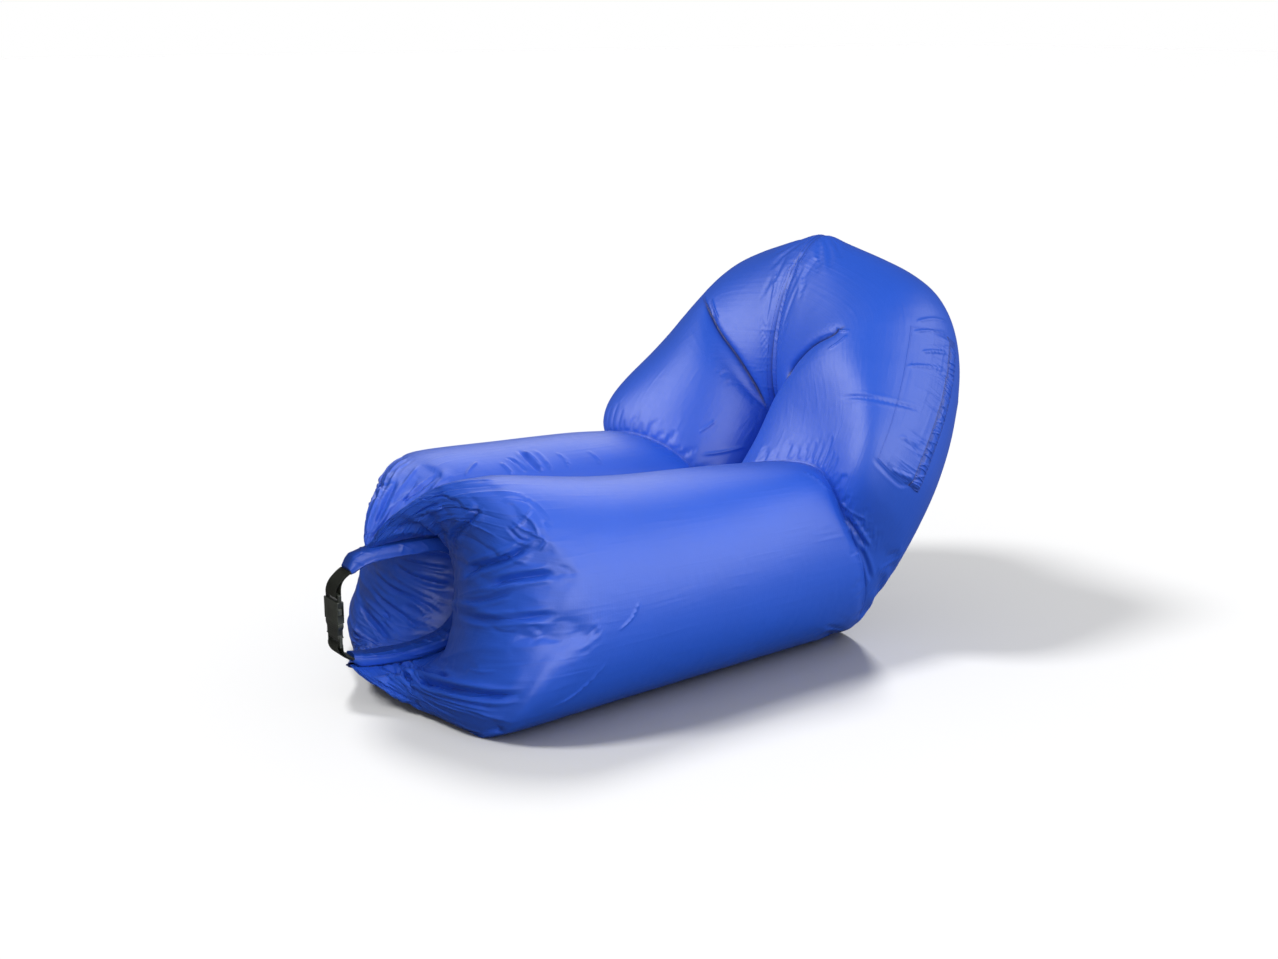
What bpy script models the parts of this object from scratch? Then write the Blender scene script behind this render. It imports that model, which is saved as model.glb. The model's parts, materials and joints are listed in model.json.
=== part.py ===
"""Inflatable air lounger with a roll-top closure and a side-release buckle.

Metres, +Z up. The lounger stands on Z = 0 and faces -Y. X is its width, and the right
side is +X. A pair of air-filled tubes lies side by side as the seat. Each tube bends up
into the back, turns inward into the hood and meets the other one at the crown. At the
front both tubes gather into one flat neck, which is rolled up and clipped into a ring.
"""
import math

import bmesh
import bpy
import numpy as np
from mathutils import Vector

for item in list(bpy.data.objects):
    bpy.data.objects.remove(item, do_unlink=True)

# Seat tubes
tube_radius = 0.185
seat_front_y = -0.3305
seat_length = 0.573
floor_sink = 0.0055
seat_squeeze = 0.004
heel_drop = 0.019

# Back and hood, measured from the rear end of the seat crease
back_reach = 0.395
back_depth = 0.277
crown_rise = 0.540
hub_radius = 0.007

# Front gather, where a tube's end is drawn together into the flat neck
cheek_depth = 0.22
cheek_setback = 0.08
right_cheek_lead = 0.019
neck_margin = 0.002
neck_gap = 0.0076

# Fabric, film and the gaps that touching pieces keep
shell_thickness = 0.0010
panel_gap = 0.0003
seam_gap = 0.0006
film_gap = 0.0004
film_thickness = 0.0004

# Roll-top ring, with the strip inside it
ring_height = 0.176
ring_depth = 0.225
ring_mid_height = 0.163
ring_reach = 0.240
roll_margin = 0.003
roll_half_thickness = 0.0075
stiffener_margin = 0.0065
stiffener_thickness = 0.0016
slot_gap = 0.0004

# Webbing tabs
webbing_width = 0.038
webbing_thickness = 0.0015
webbing_ply_gap = 0.0005
webbing_bar_gap = 0.0004
webbing_root_gap = 0.0004
webbing_slot_gap = 0.0010

# Buckle frame, shared by the socket and the plug
buckle_reach = 0.026
buckle_rise = 0.038
frame_wall = 0.0055
frame_thickness = 0.0060
bar_length = 0.0046
bar_slot_length = 0.0068
plastic_bevel = 0.0012

# Socket
socket_thickness = 0.0130
socket_length = 0.050
socket_face_wall = 0.0022
socket_side_wall = 0.0045
socket_cavity_length = 0.034
socket_neck = 0.0006
window_offset = 0.014
window_length = 0.015

# Plug with its tongue
plug_length = 0.043
plug_thickness = 0.0110
plug_inset = 0.0010
plug_seat_gap = 0.0006
tongue_width = 0.0110
tongue_length = 0.029
tongue_thickness = 0.0050

# Arms of the plug
arm_length = 0.030
arm_width = 0.006
arm_root_width = 0.0020
arm_root_gap = 0.0004
arm_face_gap = 0.0010
arm_side_gap = 0.0030
arm_catch_gap = 0.0006
shoulder_inset = 0.0015
arm_bevel = 0.0004

# Pocket sewn on the right-hand back
pocket_thickness = 0.0010
pocket_lift = 0.0014
elastic_width = 0.011
elastic_thickness = 0.0022

# One overrun for all cuts
cut_overrun = 0.002

# How finely the round shapes are cut. The sides of a tube come in fours.
ring_sides = 28
seat_steps = 3
gather_steps = 7
back_span_steps = 3
hood_span_steps = 4
roll_steps = 26
ring_path_steps = 6
roll_sides = 12
webbing_steps = 5
loop_steps = 6

# Shapes given as shares of the sizes above
hub_shares = (0.0, 0.50, 0.346)
outer_line_shares = ((0.857, 0.168, 0.0), (1.0, 0.32, 0.325), (0.824, 0.83, 0.627),
                     (0.581, 1.0, 0.868), (0.0, 0.80, 1.02))
half_depth_shares = (1.02, 1.0, 0.97, 0.84, 0.43)
ring_depth_shares = (0.0, 0.16, 0.50, 0.80, 0.965, 1.0, 0.955, 0.80, 0.50, 0.16, 0.0)
ring_height_shares = (0.41, 0.49, 0.51, 0.47, 0.28, 0.0, -0.28, -0.46, -0.52, -0.50, -0.465)
front_swell_share = 0.05
front_heel_share = 0.16
front_rise_shares = (-1.0, -0.8, -0.4, 0.0, 0.5, 0.85, 1.0)
front_setback_shares = (-1.2, -0.85, -0.2, 0.55, 0.75, 0.25, -0.05)
crease_setback_share = 0.5
gather_rise_shares = (-1.0, -0.7, 0.0, 0.7, 1.0)
gather_reach_shares = (0.12, 0.45, 0.62, 0.36, 0.46)
crease_reach_share = 0.8
cheek_side_share = 0.30
cheek_front_share = 0.84
lip_side_share = 0.12
lip_end_share = 0.2
lip_rise_share = 0.20
chin_drop_share = 0.08
neck_start_share = 0.075
gather_spread_share = 0.06
neck_lift_share = 0.05
neck_bunch_share = 1.6
pinch_rounds = 18
inset_slack_share = 0.05
inset_limit_share = 2.0
roll_square_shares = (0.6, 0.7)
pocket_ring_shares = (0.196, 0.536)
pocket_turn_shares = (0.477, 0.571)
webbing_bend_share = 0.40
webbing_part_share = 0.30
plug_grip_share = 0.60
plug_waist_share = 0.82
plug_shoulder_shares = (0.25, 0.50)
plug_heel_share = 0.15
plug_lap_share = 0.10
tongue_root_share = 0.5
arm_root_rise_share = 0.6
arm_shoulder_share = 0.35
arm_slope_share = 0.8
arm_outline_shares = ((0.0, 0.17), (0.0, 0.72), (0.22, 0.94), (0.42, 1.0), (0.62, 0.96))

# Worked out from the sizes above
ring_front_y = seat_front_y - ring_reach
buckle_y = ring_front_y - buckle_reach
buckle_top = ring_mid_height + buckle_rise
roll_half_width = webbing_width / 2 + roll_margin
neck_half_width = roll_half_width + neck_margin
stiffener_width = 2 * (roll_half_width - stiffener_margin)
bar_slot_width = webbing_width + 2 * webbing_slot_gap
socket_width = bar_slot_width + 2 * frame_wall
socket_mouth = buckle_top - socket_length
socket_cavity_width = socket_width - 2 * socket_side_wall
plug_width = socket_width - 2 * plug_inset
plug_top = socket_mouth - plug_seat_gap
plug_bottom = plug_top - plug_length
loop_radius = math.hypot(frame_thickness, bar_length) / 2 + webbing_bar_gap + webbing_thickness / 2
arm_outer_x = socket_cavity_width / 2 - arm_side_gap
arm_inner_x = arm_outer_x - arm_width
arm_middle_x = (arm_outer_x + arm_inner_x) / 2
shoulder_x = socket_width / 2 - shoulder_inset
arm_root_z = plug_top + arm_root_gap

# Edges sharper than these stay crisp
cloth_edge_degrees = 70
hem_edge_degrees = 50
plastic_edge_degrees = 40

fabric_blue = (0.060, 0.160, 0.760)
film_clear = (0.80, 0.84, 0.88)
webbing_black = (0.022, 0.023, 0.022)
buckle_black = (0.040, 0.044, 0.041)
strip_grey = (0.35, 0.36, 0.38)


def unit(vector):
    return vector / np.linalg.norm(vector)


def smooth_path(points, steps):
    """A smooth curve through the points, with the given number of steps in each span."""
    points = np.asarray(points, float)
    padded = np.vstack([2 * points[0] - points[1], points, 2 * points[-1] - points[-2]])
    path = []
    for span in range(len(points) - 1):
        before, start, end, after = padded[span:span + 4]
        for step in range(steps[span]):
            t = step / steps[span]
            path.append(0.5 * (2 * start + (end - before) * t
                               + (2 * before - 5 * start + 4 * end - after) * t ** 2
                               + (3 * start - before - 3 * end + after) * t ** 3))
    path.append(points[-1])
    return np.array(path)


# The seat crease ends at the knee, where the tubes bend up. The hub is the point that the
# back and the hood are pinched to, and the crown is where the hood's two sides meet.
tube_height = tube_radius - floor_sink
knee = np.array([0.0, seat_front_y + seat_length, tube_height])
back_size = np.array([back_reach, back_depth, crown_rise])
hub = knee + back_size * hub_shares
outer_line = knee + back_size * outer_line_shares
half_depths = tube_radius * np.array(half_depth_shares)
ring_angles = np.linspace(-math.pi, math.pi, ring_sides, endpoint=False)


def ring(inner, outer, across, half_depth):
    """An oval section through its inner and outer points, pressed flat by floor and twin."""
    centre = (inner + outer) / 2
    along = (outer - inner) / 2
    points = (centre + np.outer(np.cos(ring_angles), along)
              + np.outer(np.sin(ring_angles), across * half_depth))
    points[:, 0] = np.maximum(points[:, 0], panel_gap / 2)
    points[:, 2] = np.maximum(points[:, 2], 0.0)
    return points


def seat_front_ring(lead):
    """The section where the tube starts to gather, set back at the side, forward below."""
    inner = np.array([-seat_squeeze, seat_front_y, tube_height])
    outer = inner + np.array([2 * tube_radius, 0.0, 0.0])
    points = ring(inner, outer, np.array([0.0, 0.0, 1.0]), tube_radius)
    side = np.maximum(np.cos(ring_angles), 0.0)
    fall = np.maximum(-np.sin(ring_angles), 0.0)
    heel = front_heel_share * side * fall
    points[:, 0] += tube_radius * (front_swell_share * side + heel)
    points[:, 2] = np.maximum(points[:, 2] - tube_radius * heel, 0.0)
    setback = np.interp(np.sin(ring_angles), front_rise_shares, front_setback_shares)
    hidden = np.maximum(-np.cos(ring_angles), 0.0)
    setback += crease_setback_share * hidden * np.sqrt(fall)
    points[:, 1] += cheek_setback * setback - lead * points[:, 0] / tube_radius
    return points


def eased(sections):
    """The same sections, spread evenly where they are pinched together at the hub."""
    sections = np.array(sections)
    inner_share = ((1 - np.cos(ring_angles)) / 2)[None, :, None]
    for _ in range(pinch_rounds):
        middle = (sections[:-2] + sections[2:]) / 2
        sections[1:-1] += inner_share * (middle - sections[1:-1]) / 2
    return list(sections)


def back_and_hood_rings():
    """Sections from the lower mitre seam, round the hub, to the crown."""
    steps = [back_span_steps, back_span_steps, hood_span_steps, hood_span_steps]
    outer = smooth_path(outer_line, steps)
    count = len(outer)
    depth = np.interp(np.linspace(0, 1, count),
                      np.cumsum([0] + steps) / sum(steps), half_depths)
    inner = np.zeros((count, 3))
    for index in range(count):
        reach = hub + hub_radius * unit(outer[index] - hub)
        share = min(index / back_span_steps, 1.0)
        inner[index] = knee * (1 - share) + reach * share
    centres = (inner + outer) / 2
    heading = np.gradient(centres, axis=0)
    seam_slope = math.atan2(hub[2] - knee[2], hub[1] - knee[1])
    mitre = np.array([0.0, -math.sin(seam_slope / 2), math.cos(seam_slope / 2)])
    rings = []
    for index in range(count):
        along = unit(outer[index] - inner[index])
        across = unit(np.cross(along, heading[index]))
        if across @ mitre < 0:
            across = -across
        blend = max(0.0, 1 - index / back_span_steps)
        flat_mitre = mitre - (mitre @ along) * along
        across = unit(blend * flat_mitre + (1 - blend) * across)
        if index == count - 1:
            across = unit(np.cross(along, np.array([1.0, 0.0, 0.0])))
            across = across if across @ mitre > 0 else -across
        points = ring(inner[index], outer[index], across, depth[index])
        drop = heel_drop * blend * np.maximum(-np.sin(ring_angles), 0.0)
        points[:, 2] = np.maximum(points[:, 2] - drop, 0.0)
        rings.append(points)
    return eased(rings)


def ring_path():
    """The middle of the rolled band, from its upper end, round the back, to its lower end."""
    points = [(0.0, ring_front_y + ring_depth * y, ring_mid_height + ring_height * z)
              for y, z in zip(ring_depth_shares, ring_height_shares)]
    coarse = smooth_path(points, [ring_path_steps] * (len(points) - 1))
    lengths = np.concatenate([[0], np.cumsum(np.linalg.norm(np.diff(coarse, axis=0), axis=1))])
    even = np.linspace(0, lengths[-1], roll_steps + 1)
    return np.stack([np.interp(even, lengths, coarse[:, axis]) for axis in range(3)], axis=1)


def outward_normals(path):
    """Unit normals of the ring path in its own plane, pointing out of the ring."""
    heading = np.gradient(path, axis=0)
    normals = np.stack([0 * heading[:, 0], -heading[:, 2], heading[:, 1]], axis=1)
    return normals / np.linalg.norm(normals, axis=1)[:, None]


def neck_line_point(share):
    """A point of the line where the neck meets the roll, 0 at its upper end, 1 at the lower."""
    path = ring_path()
    line = path + outward_normals(path) * (roll_half_thickness + neck_gap)
    place = share * (len(line) - 1)
    low = min(int(place), len(line) - 2)
    return line[low] + (line[low + 1] - line[low]) * (place - low)


def gather_rings(front_ring):
    """Sections from the neck back to the tube's front ring, bulging like a cushion's cheek.

    Each line of the gather leaves the tube forwards and arrives at the neck from the side.
    The lines of the crease between the tubes run straight.
    """
    rings = []
    for step in range(gather_steps):
        t = 1 - step / gather_steps
        t = t + gather_spread_share * math.sin(2 * math.pi * t)
        points = np.zeros_like(front_ring)
        for index, angle in enumerate(ring_angles):
            side, rise = math.cos(angle), math.sin(angle)
            cheek = max(side, 0.0)
            start = front_ring[index]
            fall_share = (1 - rise) / 2
            if side < 0 and rise < 0:
                fall_share = (1 + (-rise) ** neck_bunch_share) / 2
            share = neck_start_share + (1 - neck_start_share) * fall_share
            share -= neck_lift_share * min(side, 0.0) ** 2
            end = neck_line_point(share)
            end = end + np.array([panel_gap / 2 + neck_half_width * math.sqrt(cheek), 0.0, 0.0])
            reach = cheek_depth * np.interp(rise, gather_rise_shares, gather_reach_shares)
            reach *= 1 + crease_reach_share * min(side, 0.0)
            leave = start - np.array([0.0, reach, 0.0])
            sideways = cheek_side_share * cheek
            if side > -lip_end_share:
                sideways += lip_side_share * abs(rise)
            lift_share = lip_rise_share if rise > 0 else chin_drop_share
            arrive = end + cheek_depth * np.array([sideways, -cheek_front_share * cheek ** 4,
                                                   lift_share * rise])
            bulged = (start * (1 - t) ** 3 + 3 * leave * t * (1 - t) ** 2
                      + 3 * arrive * t ** 2 * (1 - t) + end * t ** 3)
            straight = start * (1 - t) + end * t
            points[index] = bulged + (straight - bulged) * min(1.0, 3 * max(-side, 0.0))
        points[:, 0] = np.maximum(points[:, 0], panel_gap / 2)
        points[:, 2] = np.maximum(points[:, 2], 0.0)
        rings.append(points)
    return rings


def tube_grid(lead):
    """Every section of the right-hand tube, from the neck, past the seat, to the crown."""
    front = seat_front_ring(lead)
    rear = back_and_hood_rings()
    seat = [front + (rear[0] - front) * step / seat_steps for step in range(seat_steps)]
    return np.array(gather_rings(front) + seat + rear)


def mirrored(grid):
    """The same sections on the other side, numbered so that they still face outwards."""
    return np.roll(grid[:, ::-1], 1, axis=1) * np.array([-1.0, 1.0, 1.0])


def corner_normals(grid):
    """Four normals for each point of a tube's skin, one for each quad that meets there."""
    before = grid - np.concatenate([2 * grid[:1] - grid[1:2], grid[:-1]])
    after = np.concatenate([grid[1:], 2 * grid[-1:] - grid[-2:-1]]) - grid
    left, right = grid - np.roll(grid, 1, axis=1), np.roll(grid, -1, axis=1) - grid
    normals = [np.cross(along, around) for along in (before, after) for around in (left, right)]
    normals = np.stack(normals, axis=2)
    lengths = np.linalg.norm(normals, axis=3, keepdims=True)
    return normals / np.where(lengths > 0, lengths, 1)


def skin_normals(grid):
    """Unit normals at the points of a tube made of sections, pointing out of the tube."""
    total = corner_normals(grid).sum(axis=2)
    lengths = np.linalg.norm(total, axis=2, keepdims=True)
    return total / np.where(lengths > 0, lengths, 1)


def inset(grid, depth):
    """The sections moved in until they lie one depth behind every quad that they touch.

    A point of the inner wall stays on its own side of the middle.
    """
    normals = corner_normals(grid)
    facing = np.einsum("rsni,rsnj->rsij", normals, normals) + inset_slack_share * np.eye(3)
    step = np.linalg.solve(facing, depth * normals.sum(axis=2)[..., None])[..., 0]
    length = np.linalg.norm(step, axis=2, keepdims=True)
    step *= np.minimum(1, inset_limit_share * depth / np.where(length > 0, length, 1))
    side = np.sign(grid[:, :, :1].mean())
    moved = grid - step
    moved[:, :, 0] = side * np.maximum(side * moved[:, :, 0], panel_gap / 2)
    return moved


def trimmed(grid, first, last, last_trim=seam_gap / 2):
    """The sections of one panel, with half of the seam's gap taken off both of its ends."""
    sections = grid[first:last + 1].copy()
    for end, nearest, trim in ((0, 1, seam_gap / 2), (-1, -2, last_trim)):
        step = sections[nearest] - sections[end]
        seam = np.roll(sections[end], -1, axis=0) - np.roll(sections[end], 1, axis=0)
        seam /= np.linalg.norm(seam, axis=1, keepdims=True)
        across = step - seam * np.sum(step * seam, axis=1, keepdims=True)
        width = np.linalg.norm(across, axis=1, keepdims=True)
        sections[end] += step * np.minimum(trim / width, 1 / 2)
    return sections


def make_material(name, colour, roughness):
    material = bpy.data.materials.new(name)
    material.use_nodes = True
    shader = material.node_tree.nodes["Principled BSDF"]
    shader.inputs["Base Color"].default_value = (*colour, 1.0)
    shader.inputs["Roughness"].default_value = roughness
    shader.inputs["Metallic"].default_value = 0.0
    material.diffuse_color = (*colour, 1.0)
    return material


def add_part(name, points, faces, finish, pivot=(0.0, 0.0, 0.0)):
    """A new object with its origin at the pivot and the points given in the world."""
    mesh = bpy.data.meshes.new(name)
    mesh.from_pydata([Vector(point) - Vector(pivot) for point in points], [], faces)
    mesh.materials.append(make_material(name, *finish))
    part = bpy.data.objects.new(name, mesh)
    part.location = pivot
    bpy.context.collection.objects.link(part)
    return part


def smooth_shade(part, sharp_degrees):
    part.data.shade_smooth()
    part.data.set_sharp_from_angle(angle=math.radians(sharp_degrees))


def loft_faces(sections, sides, start, inward=False):
    """Triangles round a tube of sections whose points are numbered from the start.

    Both walls of a shell are split along the same diagonals, so they stay parallel.
    """
    faces = []
    for section in range(sections - 1):
        for side in range(sides):
            near = start + section * sides + side
            beside = start + section * sides + (side + 1) % sides
            for face in ((near, near + sides, beside + sides), (near, beside + sides, beside)):
                faces.append(face[::-1] if inward else face)
    return faces


def hem_faces(sides, outer, inner, last=False):
    """Quads that join the outer and the inner edge at one end of a shell."""
    faces = []
    for side in range(sides):
        beside = (side + 1) % sides
        face = (outer + side, outer + beside, inner + beside, inner + side)
        faces.append(face[::-1] if last else face)
    return faces


def shell_faces(sections, sides):
    """All faces of an open-ended shell: outer wall, inner wall and both hems."""
    inner = sections * sides
    last = (sections - 1) * sides
    return (loft_faces(sections, sides, 0) + loft_faces(sections, sides, inner, inward=True)
            + hem_faces(sides, 0, inner) + hem_faces(sides, last, inner + last, last=True))


def add_panel(name, grid, inner_grid, first, last):
    """One fabric panel: a tube of cloth, open at both ends."""
    walls = [trimmed(grid, first, last), trimmed(inner_grid, first, last)]
    points = np.concatenate([wall.reshape(-1, 3) for wall in walls])
    faces = shell_faces(last + 1 - first, ring_sides)
    smooth_shade(add_part(name, points, faces, (fabric_blue, 0.42)), cloth_edge_degrees)


def cap_faces(start, last=False):
    """A ladder of quads across a tube's end, from its lowest to its highest point."""
    quarter = ring_sides // 4
    rungs = [(start + (quarter - k) % ring_sides, start + (quarter + k) % ring_sides)
             for k in range(ring_sides // 2 + 1)]
    faces = []
    for (near_left, near_right), (far_left, far_right) in zip(rungs, rungs[1:]):
        face = list(dict.fromkeys((far_left, near_left, near_right, far_right)))
        faces.append(face[::-1] if last else face)
    return faces


def add_liner(name, grid, inner_grid):
    """The airtight film bag behind the gather, open in front and closed at the crown."""
    last = len(grid) - 1
    walls = [trimmed(grid, gather_steps, last),
             trimmed(inner_grid, gather_steps, last, seam_gap / 2 + film_thickness)]
    points = np.concatenate([wall.reshape(-1, 3) for wall in walls])
    count = len(walls[0])
    inner, outer_end = count * ring_sides, (count - 1) * ring_sides
    faces = (loft_faces(count, ring_sides, 0) + loft_faces(count, ring_sides, inner, inward=True)
             + hem_faces(ring_sides, 0, inner) + cap_faces(outer_end, last=True)
             + cap_faces(inner + outer_end))
    smooth_shade(add_part(name, points, faces, (film_clear, 0.15)), cloth_edge_degrees)


def add_tubes():
    """Both tubes, each cut into four fabric panels, with a liner inside them."""
    seat_start = gather_steps
    back_start = seat_start + seat_steps
    hood_start = back_start + 2 * back_span_steps
    crown = hood_start + 2 * hood_span_steps
    right = tube_grid(right_cheek_lead)
    left = mirrored(tube_grid(-right_cheek_lead))
    for side, grid in (("right", right), ("left", left)):
        inner_grid = inset(grid, shell_thickness)
        add_panel("front_gather_" + side, grid, inner_grid, 0, seat_start)
        add_panel("base_panel_" + side, grid, inner_grid, seat_start, back_start)
        add_panel("back_panel_" + side, grid, inner_grid, back_start, hood_start)
        add_panel("hood_panel_" + side, grid, inner_grid, hood_start, crown)
        film_depth = shell_thickness + film_gap
        add_liner("air_liner_" + side, inset(grid, film_depth),
                  inset(grid, film_depth + film_thickness))
    return right, back_start, crown


def skin_point(grid, normals, section, side):
    """A point between the sections and the sides of a tube's skin, with its normal."""
    low, left = min(int(section), len(grid) - 2), int(side)
    up, across = section - low, side - left
    sides = grid.shape[1]
    result = []
    for values in (grid, normals):
        rows = [values[low + row, left % sides] * (1 - across)
                + values[low + row, (left + 1) % sides] * across for row in (0, 1)]
        result.append(rows[0] * (1 - up) + rows[1] * up)
    return result[0], unit(result[1])


def between(start, end):
    """The start, the end, and every half step that lies between them."""
    middle = np.arange(math.ceil(2 * start + 0.5), math.floor(2 * end - 0.5) + 1) / 2
    return [start, *middle, end]


def add_patch(name, grid, sections, sides, thickness, finish):
    """A thin sheet that lies on a tube's skin between two sections and two sides."""
    normals = skin_normals(grid)
    rows, columns = between(*sections), between(*sides)
    points = []
    for lift in (pocket_lift + thickness, pocket_lift):
        for row in rows:
            for column in columns:
                point, normal = skin_point(grid, normals, row, column)
                points.append(point + normal * lift)
    wide, count = len(columns), len(rows) * len(columns)
    faces = []
    for row in range(len(rows) - 1):
        for column in range(wide - 1):
            near = row * wide + column
            face = (near, near + wide, near + wide + 1, near + 1)
            faces.append(face)
            faces.append(tuple(count + corner for corner in face[::-1]))
    rim = [column for column in range(wide)]
    rim += [row * wide + wide - 1 for row in range(1, len(rows))]
    rim += [count - 1 - column for column in range(1, wide)]
    rim += [row * wide for row in range(len(rows) - 2, 0, -1)]
    for corner, following in zip(rim, rim[1:] + rim[:1]):
        faces.append((corner, following, count + following, count + corner))
    smooth_shade(add_part(name, points, faces, finish), hem_edge_degrees)


def add_pocket(grid, back_start, crown):
    """The flat pocket and the elastic hem of its mouth, on the side of the right-hand back."""
    sections = [back_start + share * (crown - back_start) for share in pocket_ring_shares]
    start, end = [share * ring_sides for share in pocket_turn_shares]
    hem = elastic_width / (2 * math.pi * tube_radius) * ring_sides
    gap = panel_gap / (2 * math.pi * tube_radius) * ring_sides
    add_patch("pocket_panel", grid, sections, (start + gap, end), pocket_thickness,
              (fabric_blue, 0.45))
    add_patch("pocket_elastic", grid, sections, (start - hem, start), elastic_thickness,
              (fabric_blue, 0.60))


def swept_points(path, normals, section):
    """The corners of a section carried along a path, given as width and height pairs."""
    return [place + np.array([width, 0.0, 0.0]) + normal * height
            for place, normal in zip(path, normals) for width, height in section]


def add_band(name, path, normals, section, finish):
    """A solid strip with one section all along its path."""
    sides, count = len(section), len(path)
    faces = loft_faces(count, sides, 0)
    faces.append(tuple(range(sides)))
    faces.append(tuple((count - 1) * sides + side for side in reversed(range(sides))))
    points = swept_points(path, normals, section)
    smooth_shade(add_part(name, points, faces, finish), plastic_edge_degrees)


def flat_section(width, thickness):
    return [(width / 2, -thickness / 2), (width / 2, thickness / 2),
            (-width / 2, thickness / 2), (-width / 2, -thickness / 2)]


def add_roll():
    """The rolled mouth, bent round into the ring, and the plastic strip in its middle."""
    path = ring_path()
    normals = outward_normals(path)
    turns = np.linspace(0, 2 * math.pi, roll_sides, endpoint=False)
    corner_across, corner_up = math.cos(turns[1]), math.sin(turns[1])
    wide_power, thick_power = roll_square_shares
    slot_half_width = stiffener_width / 2 + slot_gap
    slot_half_thickness = stiffener_thickness / 2 + slot_gap
    outer, inner = [], []
    for turn in turns:
        across, up = math.cos(turn), math.sin(turn)
        outer.append((roll_half_width * math.copysign(abs(across) ** wide_power, across),
                      roll_half_thickness * math.copysign(abs(up) ** thick_power, up)))
        across, up = across / corner_across, up / corner_up
        reach = max(abs(across), abs(up))
        inner.append((slot_half_width * across / reach, slot_half_thickness * up / reach))
    points = swept_points(path, normals, outer) + swept_points(path, normals, inner)
    faces = shell_faces(len(path), roll_sides)
    smooth_shade(add_part("roll_top", points, faces, (fabric_blue, 0.45)), hem_edge_degrees)
    add_band("roll_stiffener", path[1:-1], normals[1:-1],
             flat_section(stiffener_width, stiffener_thickness), (strip_grey, 0.5))


def add_webbing(name, root, beyond, bar_height):
    """A strap that leaves the roll's end, goes round a buckle's bar and comes back."""
    leaving = unit(root - beyond)
    rise = math.copysign(1.0, bar_height - root[2])
    arriving = np.array([0.0, 0.0, rise])
    start = root + leaving * webbing_root_gap
    end = np.array([0.0, buckle_y, bar_height])
    bend = webbing_bend_share * np.linalg.norm(end - start)
    near_gap = (webbing_ply_gap + webbing_thickness) / 2
    middle, spread = [], []
    for step in range(webbing_steps + 1):
        t = step / webbing_steps
        middle.append(start * (1 - t) ** 3 + 3 * (start + leaving * bend) * t * (1 - t) ** 2
                      + 3 * (end - arriving * bend) * t ** 2 * (1 - t) + end * t ** 3)
        part = np.clip((t - webbing_part_share) / (1 - webbing_part_share), 0, 1)
        spread.append(near_gap + (loop_radius - near_gap) * part ** 2 * (3 - 2 * part))
    heading = np.gradient(np.array(middle), axis=0)
    heading[0], heading[-1] = leaving, arriving
    beside = np.array([unit(np.array([0.0, -line[2], line[1]])) for line in heading])
    spread = np.array(spread)[:, None]
    outward = np.array(middle) + beside * spread
    back = np.array(middle) - beside * spread
    loop = [end + loop_radius * (beside[-1] * math.cos(turn) + arriving * math.sin(turn))
            for turn in np.linspace(0, math.pi, loop_steps + 1)[1:-1]]
    path = np.array([*outward, *loop, *back[::-1]])
    turning = np.gradient(path, axis=0)
    turning[0], turning[-1] = leaving, -leaving
    normals = np.array([unit(np.array([0.0, -line[2], line[1]])) for line in turning])
    add_band(name, path, normals, flat_section(webbing_width, webbing_thickness),
             (webbing_black, 0.8))


def add_block(name, low, high, finish, pivot, bevel=0.0):
    """A box between two corners, with rounded edges where a bevel is given."""
    corners = [(x, y, z) for z in (low[2], high[2]) for y in (low[1], high[1])
               for x in (low[0], high[0])]
    faces = [(0, 2, 3, 1), (4, 5, 7, 6), (0, 1, 5, 4), (2, 6, 7, 3), (0, 4, 6, 2), (1, 3, 7, 5)]
    block = add_part(name, corners, faces, finish, pivot)
    round_edges(block, bevel)
    return block


def add_plate(name, outline, thickness, finish, pivot, bevel=0.0):
    """A plate in the buckle's plane, from an outline of X and Z given anticlockwise."""
    count = len(outline)
    points = [(x, buckle_y + side * thickness / 2, z) for side in (-1, 1) for x, z in outline]
    faces = [tuple(range(count)), tuple(reversed(range(count, 2 * count)))]
    faces += [(side, count + side, count + (side + 1) % count, (side + 1) % count)
              for side in range(count)]
    plate = add_part(name, points, faces, finish, pivot)
    round_edges(plate, bevel)
    return plate


def round_edges(part, bevel):
    if bevel:
        modifier = part.modifiers.new("Bevel", "BEVEL")
        modifier.width = bevel
        modifier.segments = 2
        modifier.limit_method = "ANGLE"
        modifier.angle_limit = math.radians(plastic_edge_degrees)


def combine(part, other, operation):
    """Join or cut the part with another shape, which is then only a guide."""
    modifier = part.modifiers.new(other.name, "BOOLEAN")
    modifier.operation = operation
    modifier.object = other
    other.hide_render = True
    other.display_type = "WIRE"


def buckle_box(half_width, half_thickness, low, high):
    """Two opposite corners of a box that is centred on the buckle's middle line."""
    return ((-half_width, buckle_y - half_thickness, low),
            (half_width, buckle_y + half_thickness, high))


def cut_bar_slot(part, name, slot_low, finish, pivot):
    corners = buckle_box(bar_slot_width / 2, frame_thickness / 2 + cut_overrun,
                         slot_low, slot_low + bar_slot_length)
    combine(part, add_block(name, *corners, finish, pivot), "DIFFERENCE")


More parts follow.
